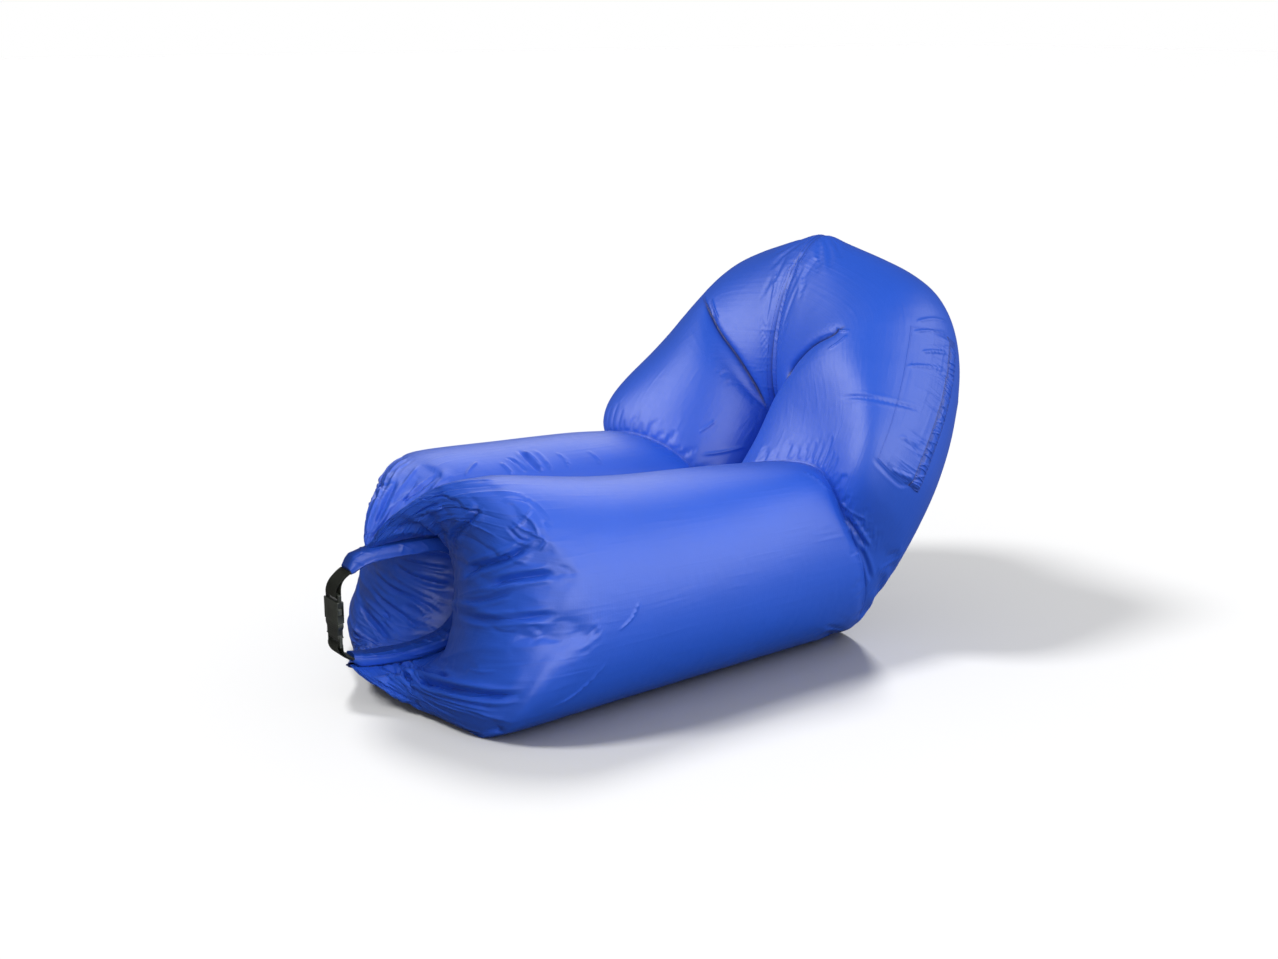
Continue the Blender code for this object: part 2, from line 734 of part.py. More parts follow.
def add_socket():
    """The female half: a flat case with side windows, and a frame with the webbing bar."""
    finish = (buckle_black, 0.5)
    pivot = (0.0, buckle_y, buckle_top - bar_length / 2)
    slot_low = buckle_top - bar_length - bar_slot_length
    case_top = slot_low - socket_neck
    half_width = socket_width / 2
    socket = add_block("buckle_socket", *buckle_box(half_width, socket_thickness / 2,
                                                    socket_mouth, case_top),
                       finish, pivot, plastic_bevel)
    frame = add_block("guide_socket_frame", *buckle_box(half_width, frame_thickness / 2,
                                                        socket_mouth + socket_length / 2,
                                                        buckle_top),
                      finish, pivot, plastic_bevel)
    combine(socket, frame, "UNION")
    cut_bar_slot(socket, "guide_socket_slot", slot_low, finish, pivot)
    cavity_half_depth = socket_thickness / 2 - socket_face_wall
    cavity = add_block("guide_socket_cavity",
                       *buckle_box(socket_cavity_width / 2, cavity_half_depth,
                                   socket_mouth - cut_overrun,
                                   socket_mouth + socket_cavity_length), finish, pivot)
    combine(socket, cavity, "DIFFERENCE")
    window = add_block("guide_socket_windows",
                       *buckle_box(half_width + cut_overrun, cavity_half_depth,
                                   socket_mouth + window_offset,
                                   socket_mouth + window_offset + window_length),
                       finish, pivot)
    combine(socket, window, "DIFFERENCE")


def add_plug():
    """The male half: a waisted grip, a frame with the webbing bar, and the middle tongue."""
    finish = (buckle_black, 0.5)
    pivot = (0.0, buckle_y, plug_top)
    half_width = plug_width / 2
    waist = half_width * plug_waist_share
    grip_low = plug_top - plug_length * plug_grip_share
    grip_height = plug_top - grip_low
    upper_share, lower_share = plug_shoulder_shares
    right_edge = [(half_width, plug_top), (half_width, plug_top - grip_height * upper_share),
                  (waist, plug_top - grip_height * lower_share),
                  (waist, grip_low + grip_height * plug_heel_share),
                  (half_width - plug_inset, grip_low)]
    outline = right_edge + [(-x, z) for x, z in reversed(right_edge)]
    plug = add_plate("buckle_plug", outline[::-1], plug_thickness, finish, pivot, plastic_bevel)
    frame = add_block("guide_plug_frame",
                      *buckle_box(half_width - plug_inset, frame_thickness / 2, plug_bottom,
                                  grip_low + grip_height * plug_lap_share),
                      finish, pivot, plastic_bevel)
    combine(plug, frame, "UNION")
    tongue = add_block("guide_plug_tongue",
                       *buckle_box(tongue_width / 2, tongue_thickness / 2,
                                   plug_top - grip_height * tongue_root_share,
                                   plug_top + tongue_length),
                       finish, pivot, arm_bevel)
    combine(plug, tongue, "UNION")
    cut_bar_slot(plug, "guide_plug_slot", plug_bottom + bar_length, finish, pivot)


def add_arm(name, side):
    """A sprung arm with a pointed root and a shoulder that catches in the side window."""
    catch_z = socket_mouth + window_offset + arm_catch_gap
    window_top = socket_mouth + window_offset + window_length
    reach = arm_outer_x - arm_inner_x
    root = arm_root_width / 2
    outline = [(arm_middle_x + root, arm_root_z),
               (arm_outer_x, arm_root_z + reach * arm_root_rise_share),
               (arm_outer_x, catch_z),
               (shoulder_x, catch_z),
               (shoulder_x, window_top - window_length * arm_shoulder_share),
               (arm_outer_x + arm_side_gap * arm_slope_share, window_top - arm_catch_gap)]
    outline += [(arm_inner_x + reach * across, arm_root_z + arm_length * along)
                for across, along in reversed(arm_outline_shares)]
    outline.append((arm_middle_x - root, arm_root_z))
    thickness = socket_thickness - 2 * (socket_face_wall + arm_face_gap)
    if side < 0:
        outline = [(-x, z) for x, z in reversed(outline)]
    add_plate(name, outline, thickness, (buckle_black, 0.5),
              (side * arm_middle_x, buckle_y, arm_root_z), arm_bevel)


def add_closure():
    """Everything at the ring's two ends: straps, socket, plug and arms."""
    path = ring_path()
    add_webbing("webbing_tab_upper", path[0], path[1], buckle_top - bar_length / 2)
    add_webbing("webbing_tab_lower", path[-1], path[-2], plug_bottom + bar_length / 2)
    add_socket()
    add_plug()
    add_arm("plug_arm_right", 1)
    add_arm("plug_arm_left", -1)


skin, back_start, crown = add_tubes()
add_pocket(skin, back_start, crown)
add_roll()
add_closure()
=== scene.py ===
# %% [markdown]
# # An inflatable air lounger
# Two long bags of air lie side by side as the seat, bend up into the back and meet in a
# hood. At the front both gather into one flat mouth, which is rolled up and bent round
# until its two ends meet in a buckle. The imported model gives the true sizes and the
# joints. This script dresses it: cloth that is really inflated, folds, seams and trim.

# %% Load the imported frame
import json
import math

import bpy
import numpy as np
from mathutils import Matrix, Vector
from mathutils.bvhtree import BVHTree

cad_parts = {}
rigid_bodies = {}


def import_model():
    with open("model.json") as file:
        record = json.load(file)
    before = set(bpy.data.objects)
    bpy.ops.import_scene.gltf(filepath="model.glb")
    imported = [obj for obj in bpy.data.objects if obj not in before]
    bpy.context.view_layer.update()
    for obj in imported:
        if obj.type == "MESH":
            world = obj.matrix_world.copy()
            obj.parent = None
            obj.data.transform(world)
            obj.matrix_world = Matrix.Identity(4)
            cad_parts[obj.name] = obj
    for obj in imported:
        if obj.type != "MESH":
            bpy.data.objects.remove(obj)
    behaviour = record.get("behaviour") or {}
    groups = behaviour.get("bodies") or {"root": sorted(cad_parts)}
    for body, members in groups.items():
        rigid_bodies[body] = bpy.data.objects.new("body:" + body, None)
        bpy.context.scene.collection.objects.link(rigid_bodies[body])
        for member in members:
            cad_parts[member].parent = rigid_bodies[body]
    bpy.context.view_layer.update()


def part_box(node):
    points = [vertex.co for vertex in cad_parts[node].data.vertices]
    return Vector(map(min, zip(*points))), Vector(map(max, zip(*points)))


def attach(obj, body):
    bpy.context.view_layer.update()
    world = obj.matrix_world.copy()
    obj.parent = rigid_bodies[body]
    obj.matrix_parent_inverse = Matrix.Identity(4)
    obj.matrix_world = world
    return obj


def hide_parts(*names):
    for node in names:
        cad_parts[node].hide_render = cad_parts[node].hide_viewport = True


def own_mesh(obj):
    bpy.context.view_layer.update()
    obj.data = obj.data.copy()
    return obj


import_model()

# %% [markdown]
# ## The camera
# The camera comes first. Its place was found by matching points of known height and width. The
# same numbers also turn a
# pixel of the photograph into a ray, which is how the folds are later laid on the cloth
# where the photograph shows them.

# %% Camera at the photograph's viewpoint
photo_width, photo_height = 1278, 959
camera_azimuth, camera_elevation = math.radians(55.34), math.radians(14.59)
camera_place = np.array([2.6818, -1.8272, 1.1521])
lens_mm, sensor_mm = 51.25, 36.0
camera_back = np.array([math.sin(camera_azimuth) * math.cos(camera_elevation),
                        -math.cos(camera_azimuth) * math.cos(camera_elevation),
                        math.sin(camera_elevation)])
camera_right = np.array([math.cos(camera_azimuth), math.sin(camera_azimuth), 0.0])
camera_up = np.cross(camera_back, camera_right)


def in_scene(name, data):
    """A new object with this data, linked to the scene."""
    thing = bpy.data.objects.new(name, data)
    bpy.context.collection.objects.link(thing)
    return thing


camera_data = bpy.data.cameras.new("photo_camera")
camera_data.lens, camera_data.sensor_width = lens_mm, sensor_mm
camera = in_scene("photo_camera", camera_data)
camera.location = camera_place
camera.rotation_mode = "QUATERNION"
camera.rotation_quaternion = Vector(-camera_back).to_track_quat("-Z", "Y")
bpy.context.scene.camera = camera


def pixel_direction(x, y):
    """The direction in which the camera sees a pixel of the photograph."""
    focal = lens_mm / sensor_mm * photo_width
    ray = (camera_right * (x - photo_width / 2) + camera_up * (photo_height / 2 - y)
           - camera_back * focal)
    return Vector(ray).normalized()


print("Camera:", round(float(np.linalg.norm(camera_place)), 2), "m from the origin")

# %% [markdown]
# ## Small helpers for materials
# A material here is a short list of nodes. One function adds a node with its settings and
# its links, so each material reads from top to bottom. Colours are written as the hex
# values that a paint program shows and turned to linear light once.

# %% Material helpers
def linear(hex_colour):
    """An sRGB hex colour as linear red, green, blue and alpha."""
    values = [int(hex_colour[i:i + 2], 16) / 255 for i in (1, 3, 5)]
    return [v / 12.92 if v <= 0.04045 else ((v + 0.055) / 1.055) ** 2.4 for v in values] + [1.0]


def new_material(name, **settings):
    """A material with its Principled shader, whose sockets get the given settings."""
    material = bpy.data.materials.new(name)
    material.use_nodes = True
    shader = material.node_tree.nodes["Principled BSDF"]
    for socket, value in settings.items():
        shader.inputs[socket.replace("_", " ")].default_value = value
    return material, material.node_tree, shader


def add_node(tree, kind, inputs=None, **settings):
    """A node of any kind: its settings, and a value or a source for each of its sockets."""
    node = tree.nodes.new(kind)
    for name, value in settings.items():
        setattr(node, name, value)
    for socket, value in (inputs or {}).items():
        if isinstance(value, bpy.types.NodeSocket):
            tree.links.new(value, node.inputs[socket])
        else:
            node.inputs[socket].default_value = value
    return node


def feed(tree, shader, **sources):
    """Links a source to each of the shader's named sockets."""
    for socket, source in sources.items():
        tree.links.new(source, shader.inputs[socket.replace("_", " ")])


def object_space(tree):
    return add_node(tree, "ShaderNodeTexCoord").outputs["Object"]


def cloth_metres(tree):
    return add_node(tree, "ShaderNodeUVMap", uv_map="cloth_metres").outputs["UV"]


def noise(tree, space, scale, detail, ridged=False, **inputs):
    """A cloudy pattern in some space, or a ridged one, from 0 to 1."""
    kind = {"noise_type": "RIDGED_MULTIFRACTAL", "normalize": True} if ridged else {}
    return add_node(tree, "ShaderNodeTexNoise",
                    {"Vector": space, "Scale": scale, "Detail": detail, **inputs},
                    **kind).outputs["Fac"]


wave_turns_per_unit = 20 / (2 * math.pi)


def threads(tree, uv, spacing_mm, direction, **inputs):
    """Even waves along one direction of the cloth."""
    scale = 1000 / spacing_mm / wave_turns_per_unit
    return add_node(tree, "ShaderNodeTexWave", {"Vector": uv, "Scale": scale, **inputs},
                    wave_type="BANDS", bands_direction=direction).outputs["Fac"]


def calculated(tree, operation, first, second):
    return add_node(tree, "ShaderNodeMath", {0: first, 1: second},
                    operation=operation).outputs["Value"]


def ranged(tree, value, low, high):
    """A value from 0 to 1 stretched to run from low to high."""
    return add_node(tree, "ShaderNodeMapRange",
                    {"Value": value, "To Min": low, "To Max": high}).outputs["Result"]


def mixed_colours(tree, share, first, second):
    return add_node(tree, "ShaderNodeMix", {"Factor": share, "A": first, "B": second},
                    data_type="RGBA").outputs["Result"]


def bumped(tree, height, strength, metres, **normal):
    """A surface normal that leans with a height, on top of another normal if given."""
    return add_node(tree, "ShaderNodeBump", {"Height": height, "Strength": strength,
                                             "Distance": metres, **normal}).outputs["Normal"]


# %% [markdown]
# ## Satin ripstop cloth
# The bag is sewn from thin polyester taffeta with a ripstop grid: a thicker thread about
# every 5 mm each way. Calendering presses the yarns flat, which gives a broad satin gloss
# and makes every small crinkle catch the light. The grid follows the cloth, so it reads
# the UV map, which holds metres along and across each bag. Taut cloth is smooth and slack
# cloth is crumpled, so the crumples are scaled by an attribute of the mesh, "slack".

# %% Ripstop material
ripstop_spacing_mm = 5.0
thread_sharpness = 14.0
facet_mm, crinkle_mm = 42.0, 11.0
creases_per_metre = (9.0, 85.0, 1.0)
painted_shade_colour = linear("#0a1a5c")


def make_ripstop(name, colour, roughness):
    material, tree, shader = new_material(
        name, Base_Color=linear(colour), Roughness=roughness, IOR=1.5,
        Specular_IOR_Level=0.75, Sheen_Weight=0.04, Sheen_Roughness=0.35,
        Sheen_Tint=linear("#bcd0ff"))
    uv, space = cloth_metres(tree), object_space(tree)
    slack, seam = (add_node(tree, "ShaderNodeAttribute", attribute_name=name).outputs["Fac"]
                   for name in ("slack", "seam_shade"))
    grid = calculated(tree, "MAXIMUM", threads(tree, uv, ripstop_spacing_mm, "X"),
                      threads(tree, uv, ripstop_spacing_mm, "Y"))
    ridges = calculated(tree, "POWER", grid, thread_sharpness)
    facets = noise(tree, space, 1000 / facet_mm, 3.0, ridged=True, Roughness=0.5,
                   Lacunarity=2.2, Distortion=0.5)
    drawn = add_node(tree, "ShaderNodeVectorMath", {0: uv, 1: creases_per_metre},
                     operation="MULTIPLY").outputs["Vector"]
    creases = noise(tree, drawn, 1.0, 3.0, ridged=True, Roughness=0.5, Distortion=0.4)
    crinkles = noise(tree, space, 1000 / crinkle_mm, 4.0, Roughness=0.55, Distortion=0.6)
    tone = ranged(tree, noise(tree, space, 7.0, 3.0), 0.92, 1.08)
    tint = add_node(tree, "ShaderNodeHueSaturation",
                    {"Color": linear(colour), "Value": tone}).outputs["Color"]
    weave = bumped(tree, ridges, 0.22, 0.0002)
    relief = bumped(tree, crinkles, ranged(tree, slack, 0.10, 0.45), 0.0011, Normal=weave)
    strength = ranged(tree, slack, 0.05, 0.75)
    crumple = bumped(tree, facets, strength, 0.0030, Normal=relief)
    # The seam_shade attribute mixes painted shade into the colour: dark blue in the sunken seams.
    feed(tree, shader, Base_Color=mixed_colours(tree, seam, tint, painted_shade_colour),
         Roughness=ranged(tree, crinkles, roughness - 0.05, roughness + 0.07),
         Normal=bumped(tree, creases, strength, 0.0030, Normal=crumple))
    return material


ripstop = make_ripstop("satin_ripstop_royal_blue", "#2054c8", 0.44)
print("Cloth:", ripstop.name, "with a grid every", ripstop_spacing_mm, "mm")

# %% [markdown]
# ## The form of the bags
# Each bag is a row of oval sections, from the neck at the front, along the seat, up the
# back, round the hub where the hood is pinched, and on to the crown. The sections follow
# the same rule as the solids do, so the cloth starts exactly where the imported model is.
# Working with sections also gives every point of the cloth two coordinates, along the
# bag and round it, which seams, folds, pocket and weave all use later.

# %% Sizes of the bags
tube_radius = 0.185
seat_front_y = -0.3305
seat_length = 0.573
floor_sink = 0.0055
seat_squeeze = 0.004
heel_drop = 0.019
hub_radius = 0.007
cheek_depth = 0.22
cheek_setback = 0.08
right_cheek_lead = 0.019
neck_gap = 0.0076
panel_gap = 0.0003
ring_height, ring_depth, ring_mid_height, ring_reach = 0.176, 0.225, 0.163, 0.240
roll_half_width, roll_half_thickness = 0.022, 0.0075
neck_half_width = roll_half_width + 0.002
ring_points = 27
knee_steps = 3
fairing_rounds = 18
heel_swell, side_swell, inner_setback = 0.16, 0.05, 0.5
# how far the gather starts behind the seat's front, from the bottom of the bag to its top
setback_rises = (-1.0, -0.8, -0.4, 0.0, 0.5, 0.85, 1.0)
setback_shares = (-1.2, -0.85, -0.2, 0.55, 0.75, 0.25, -0.05)
# how far the cheek runs on before it turns in, from the bottom to the top
reach_rises = (-1.0, -0.7, 0.0, 0.7, 1.0)
reach_shares = (0.12, 0.45, 0.62, 0.36, 0.46)
gather_spans, row_spread = 7, 0.06
neck_start, inner_neck_shift, inner_fall_power = 0.075, 0.05, 1.6
cheek_forward, cheek_sideways, edge_sideways = 0.84, 0.30, 0.12
upper_lift, lower_lift = 0.20, 0.08

tube_height = tube_radius - floor_sink
ring_front_y = seat_front_y - ring_reach
knee = np.array([0.0, seat_front_y + seat_length, tube_height])
back_size = np.array([0.395, 0.277, 0.540])
hub = knee + back_size * (0.0, 0.50, 0.346)
outer_line = knee + back_size * ((0.857, 0.168, 0.0), (1.0, 0.32, 0.325),
                                 (0.824, 0.83, 0.627), (0.581, 1.0, 0.868), (0.0, 0.80, 1.02))
half_depths = tube_radius * np.array((1.02, 1.0, 0.97, 0.84, 0.43))
turns = np.linspace(-math.pi, math.pi, 28, endpoint=False)


# %% Curves and sections
def unit(vector):
    return vector / np.linalg.norm(vector)


def eased(share):
    """0 to 1 with a soft start and a soft end."""
    share = np.clip(share, 0, 1)
    return share * share * (3 - 2 * share)


def path_lengths(points):
    """How far along a chain of points each of them is."""
    steps = np.linalg.norm(np.diff(points, axis=0), axis=1)
    return np.concatenate([[0], np.cumsum(steps)])


def even_points(points, count):
    """A number of points at even steps along the same chain."""
    lengths = path_lengths(points)
    even = np.linspace(0, lengths[-1], count)
    return np.stack([np.interp(even, lengths, values) for values in points.T], axis=1)


def along_turn(turn, centre, whole=1.0):
    """How far apart two places round a bag or a roll are, by the shorter way."""
    return np.abs((turn - centre + whole / 2) % whole - whole / 2)


def smooth_rows(rows, steps, closed=False):
    """A smooth curve through rows of points, with a number of steps in each span."""
    rows = np.asarray(rows, float)
    if closed:
        rows = np.concatenate([rows[-1:], rows, rows[:2]])
    else:
        rows = np.concatenate([2 * rows[:1] - rows[1:2], rows, 2 * rows[-1:] - rows[-2:-1]])
    spans = len(rows) - 3
    steps = [steps] * spans if isinstance(steps, int) else steps
    curve = []
    for span in range(spans):
        before, start, end, after = rows[span:span + 4]
        for step in range(steps[span]):
            t = step / steps[span]
            curve.append(0.5 * (2 * start + (end - before) * t
                                + (2 * before - 5 * start + 4 * end - after) * t ** 2
                                + (3 * start - before - 3 * end + after) * t ** 3))
    if not closed:
        curve.append(rows[-2])
    return np.array(curve)


def clear_of_neighbours(points, sign=1.0):
    """Moves points up on to the floor and back to their own side of the middle."""
    points[..., 0] = sign * np.maximum(sign * points[..., 0], panel_gap / 2)
    points[..., 2] = np.maximum(points[..., 2], 0.0)
    return points


def section(inner, outer, across, half_depth):
    """An oval through its inner and outer points, pressed flat by floor and twin."""
    along = (outer - inner) / 2
    points = ((inner + outer) / 2 + np.outer(np.cos(turns), along)
              + np.outer(np.sin(turns), across * half_depth))
    return clear_of_neighbours(points)


# %% The section where the seat starts to gather
def seat_front_section(lead):
    inner = np.array([-seat_squeeze, seat_front_y, tube_height])
    outer = inner + np.array([2 * tube_radius, 0.0, 0.0])
    points = section(inner, outer, np.array([0.0, 0.0, 1.0]), tube_radius)
    side = np.maximum(np.cos(turns), 0.0)
    fall = np.maximum(-np.sin(turns), 0.0)
    heel = heel_swell * side * fall
    points[:, 0] += tube_radius * (side_swell * side + heel)
    points[:, 2] = np.maximum(points[:, 2] - tube_radius * heel, 0.0)
    setback = np.interp(np.sin(turns), setback_rises, setback_shares)
    setback += inner_setback * np.maximum(-np.cos(turns), 0.0) * np.sqrt(fall)
    points[:, 1] += cheek_setback * setback - lead * points[:, 0] / tube_radius
    return points


# %% The sections of the back and the hood
def back_and_hood_sections():
    outer = smooth_rows(outer_line, [3, 3, 4, 4])
    count = len(outer)
    depth = np.interp(np.arange(count), (0, 3, 6, 10, 14), half_depths)
    inner = np.zeros((count, 3))
    for index in range(count):
        reach = hub + hub_radius * unit(outer[index] - hub)
        share = min(index / knee_steps, 1.0)
        inner[index] = knee * (1 - share) + reach * share
    heading = np.gradient((inner + outer) / 2, axis=0)
    seam_slope = math.atan2(hub[2] - knee[2], hub[1] - knee[1])
    mitre = np.array([0.0, -math.sin(seam_slope / 2), math.cos(seam_slope / 2)])
    sections = []
    for index in range(count):
        along = unit(outer[index] - inner[index])
        across = unit(np.cross(along, heading[index]))
        across = -across if across @ mitre < 0 else across
        blend = max(0.0, 1 - index / knee_steps)
        across = unit(blend * (mitre - (mitre @ along) * along) + (1 - blend) * across)
        if index == count - 1:
            across = unit(np.cross(along, np.array([1.0, 0.0, 0.0])))
            across = across if across @ mitre > 0 else -across
        points = section(inner[index], outer[index], across, depth[index])
        drop = heel_drop * blend * np.maximum(-np.sin(turns), 0.0)
        points[:, 2] = np.maximum(points[:, 2] - drop, 0.0)
        sections.append(points)
    sections = np.array(sections)
    inner_share = ((1 - np.cos(turns)) / 2)[None, :, None]
    for _ in range(fairing_rounds):
        middle = (sections[:-2] + sections[2:]) / 2
        sections[1:-1] += inner_share * (middle - sections[1:-1]) / 2
    return sections


# %% The rolled ring, and the neck that meets it
def ring_path():
    """The middle of the rolled band, from its upper end, round the back, to its lower end."""
    depths = (0.0, 0.16, 0.50, 0.80, 0.965, 1.0, 0.955, 0.80, 0.50, 0.16, 0.0)
    heights = (0.41, 0.49, 0.51, 0.47, 0.28, 0.0, -0.28, -0.46, -0.52, -0.50, -0.465)
    coarse = smooth_rows([(0.0, ring_front_y + ring_depth * y, ring_mid_height + ring_height * z)
                          for y, z in zip(depths, heights)], 6)
    return even_points(coarse, ring_points)


def outward(path):
    """Unit normals of a path in the plane of the ring, pointing out of the ring."""
    heading = np.gradient(path, axis=0)
    normals = np.stack([0 * heading[:, 0], -heading[:, 2], heading[:, 1]], axis=1)
    return normals / np.linalg.norm(normals, axis=1)[:, None]


# %% The sections of the gather
def gather_sections(front):
    """From the neck back to the seat's front section, bulging like a cushion's cheek."""
    path = ring_path()
    neck_line = path + outward(path) * (roll_half_thickness + neck_gap)
    sections = []
    for step in range(gather_spans):
        t = 1 - step / gather_spans
        t = t + row_spread * math.sin(2 * math.pi * t)
        points = np.zeros_like(front)
        for index, turn in enumerate(turns):
            side, rise = math.cos(turn), math.sin(turn)
            cheek = max(side, 0.0)
            start = front[index]
            fall_share = (1 - rise) / 2
            if side < 0 and rise < 0:
                fall_share = (1 + (-rise) ** inner_fall_power) / 2
            share = neck_start + (1 - neck_start) * fall_share
            share -= inner_neck_shift * min(side, 0.0) ** 2
            place = share * (len(neck_line) - 1)
            low = min(int(place), len(neck_line) - 2)
            end = neck_line[low] + (neck_line[low + 1] - neck_line[low]) * (place - low)
            end = end + np.array([panel_gap / 2 + neck_half_width * math.sqrt(cheek), 0.0, 0.0])
            reach = cheek_depth * np.interp(rise, reach_rises, reach_shares)
            reach *= 1 + 0.8 * min(side, 0.0)
            leave = start - np.array([0.0, reach, 0.0])
            sideways = cheek_sideways * cheek
            sideways += edge_sideways * abs(rise) if side > -0.2 else 0.0
            lift = upper_lift if rise > 0 else lower_lift
            arrive = end + cheek_depth * np.array([sideways, -cheek_forward * cheek ** 4,
                                                   lift * rise])
            bulged = (start * (1 - t) ** 3 + 3 * leave * t * (1 - t) ** 2
                      + 3 * arrive * t ** 2 * (1 - t) + end * t ** 3)
            straight = start * (1 - t) + end * t
            points[index] = bulged + (straight - bulged) * min(1.0, 3 * max(-side, 0.0))
        sections.append(clear_of_neighbours(points))
    return np.array(sections)


# %% Both bags as fine rows of sections
mitre, hood_start, crown = 10, 16, 24
fine_steps = {"gather": [7] * gather_spans, "seat": [20] * 3, "back": [9] * 6, "hood": [8] * 8}
around_steps = 6
mitre_row = sum(fine_steps["gather"]) + sum(fine_steps["seat"])
hood_row = mitre_row + sum(fine_steps["back"])
crown_row = hood_row + sum(fine_steps["hood"])


def bag_skin(lead):
    """The right-hand bag. Seams are left sharp, and all between them is smooth."""
    front = seat_front_section(lead)
    rear = back_and_hood_sections()
    seat = np.array([front + (rear[0] - front) * step / 3 for step in range(4)])
    seat_part = np.concatenate([gather_sections(front), seat])
    parts = [smooth_rows(seat_part, fine_steps["gather"] + fine_steps["seat"]),
             smooth_rows(rear[:7], fine_steps["back"]),
             smooth_rows(rear[6:], fine_steps["hood"])]
    rows = np.concatenate([parts[0][:-1], parts[1][:-1], parts[2]])
    skin = smooth_rows(rows.transpose(1, 0, 2), around_steps, closed=True).transpose(1, 0, 2)
    return clear_of_neighbours(skin)


def mirrored(skin):
    """The same sections on the other side, numbered so that they still face outwards."""
    return np.roll(skin[:, ::-1], 1, axis=1) * np.array([-1.0, 1.0, 1.0])


plain_skins = {"right": bag_skin(right_cheek_lead), "left": mirrored(bag_skin(-right_cheek_lead))}
print("Bag sections:", plain_skins["right"].shape[:2], "rows and points round")

# %% [markdown]
# ## Inflating the cloth
# An air bag is not a smooth tube. Its seams are shorter than the cloth between them, so
# under pressure they sink in and the cloth beside them puckers. Blender's Cloth does the
# same when the seam's vertices shrink and the bag has pressure. The neck, the crown, the
# hub and the strip on the floor are held. Movement is capped, so the bag stays the size
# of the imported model.

# %% Inflate one bag with Cloth
cloth_settings = {
    "quality": 4, "mass": 0.15, "air_damping": 2.0, "tension_stiffness": 15.0,
    "compression_stiffness": 15.0, "bending_stiffness": 0.02, "use_pressure": True,
    "uniform_pressure_force": 4.0, "vertex_group_mass": "held",
    "vertex_group_shrink": "seam", "shrink_max": 0.06,
}
shrinking_seams = ((mitre_row, 0.5), (crown_row, 0.9))
seam_rows, neck_rows, crown_rows = 1.5, 6, 4
hub_hold = 0.05
last_frame = 20
movement_cap = 0.012


def grid_faces(rows, columns, closed=True):
    """Quads of a closed tube of rows, or of an open sheet, facing outwards."""
    return [(row * columns + column, (row + 1) * columns + column,
             (row + 1) * columns + (column + 1) % columns, row * columns + (column + 1) % columns)
            for row in range(rows - 1) for column in range(columns if closed else columns - 1)]


def fill_group(piece, name, weights):
    group = piece.vertex_groups.new(name=name)
    for index in np.flatnonzero(weights > 0.001):
        group.add([int(index)], float(min(weights[index], 1.0)), "REPLACE")


def inflated(name, skin):
    """The skin after pressure has blown it up against its seams, by movement_cap at most."""
    rows, columns = skin.shape[:2]
    points = skin.reshape(-1, 3)
    mesh = bpy.data.meshes.new(name)
    mesh.from_pydata(points.tolist(), [], grid_faces(rows, columns))
    trial = in_scene(name, mesh)
    row = np.repeat(np.arange(rows), columns)
    from_hub = np.linalg.norm(points - hub, axis=1)
    fill_group(trial, "held", np.maximum.reduce(
        [1 - row / neck_rows, 1 - (rows - 1 - row) / crown_rows, 1.6 - from_hub / hub_hold,
         0.8 * (points[:, 2] < 0.0005)]))
    fill_group(trial, "seam", np.maximum.reduce(
        [strength * np.exp(-((row - seam) / seam_rows) ** 2)
         for seam, strength in shrinking_seams]))
    cloth = trial.modifiers.new("Cloth", "CLOTH")
    cloth.point_cache.frame_start, cloth.point_cache.frame_end = 1, last_frame
    for setting, value in cloth_settings.items():
        setattr(cloth.settings, setting, value)
    cloth.settings.effector_weights.gravity = 0.0
    for frame_number in range(1, last_frame + 1):
        bpy.context.scene.frame_set(frame_number)
    settled = trial.evaluated_get(bpy.context.evaluated_depsgraph_get()).to_mesh()
    moved = np.zeros(len(points) * 3)
    settled.vertices.foreach_get("co", moved)
    bpy.context.scene.frame_set(1)
    bpy.data.objects.remove(trial)
    step = moved.reshape(-1, 3) - points
    length = np.linalg.norm(step, axis=1, keepdims=True)
    step *= np.minimum(1.0, movement_cap / np.maximum(length, 1e-9))
    print(name, "moved", round(float(length.mean() * 1000), 1), "mm on average,",
          round(float(length.max() * 1000), 1), "mm at most")
    return (points + step).reshape(skin.shape)


skins = {side: inflated("inflating_" + side, skin)
         for side, skin in plain_skins.items()}

# %% Finer, and kept off the floor and off the other bag
def finer(skin):
    """Twice as many rows and four times as many points round, with the seams kept."""
    seams = [0, mitre_row, hood_row, crown_row]
    parts = [smooth_rows(skin[low:high + 1], 2) for low, high in zip(seams, seams[1:])]
    rows = np.concatenate([part[:-1] for part in parts[:-1]] + [parts[-1]])
    return smooth_rows(rows.transpose(1, 0, 2), 4, closed=True).transpose(1, 0, 2)


side_signs = {"right": 1.0, "left": -1.0}
skins = {side: clear_of_neighbours(finer(skin), side_signs[side])
         for side, skin in skins.items()}
mitre_row, hood_row, crown_row = 2 * mitre_row, 2 * hood_row, 2 * crown_row
gather_row = 2 * sum(fine_steps["gather"])
round_points = skins["right"].shape[1]
print("Fine cloth:", skins["right"].shape[0] * round_points, "points a side")


# %% Directions and lengths on the cloth
def skin_normals(skin):
    """Unit normals of a tube of rows, pointing out of it."""
    along = np.gradient(skin, axis=0)
    around = np.roll(skin, -1, axis=1) - np.roll(skin, 1, axis=1)
    normals = np.cross(along, around)
    return normals / np.maximum(np.linalg.norm(normals, axis=2, keepdims=True), 1e-12)


def lengths_along(skin):
    steps = np.linalg.norm(np.diff(skin, axis=0), axis=2)
    return np.concatenate([np.zeros((1, skin.shape[1])), np.cumsum(steps, axis=0)])


def lengths_around(skin):
    steps = np.linalg.norm(np.roll(skin, -1, axis=1) - skin, axis=2)
    return np.concatenate([np.zeros((len(skin), 1)), np.cumsum(steps, axis=1)[:, :-1]], axis=1)


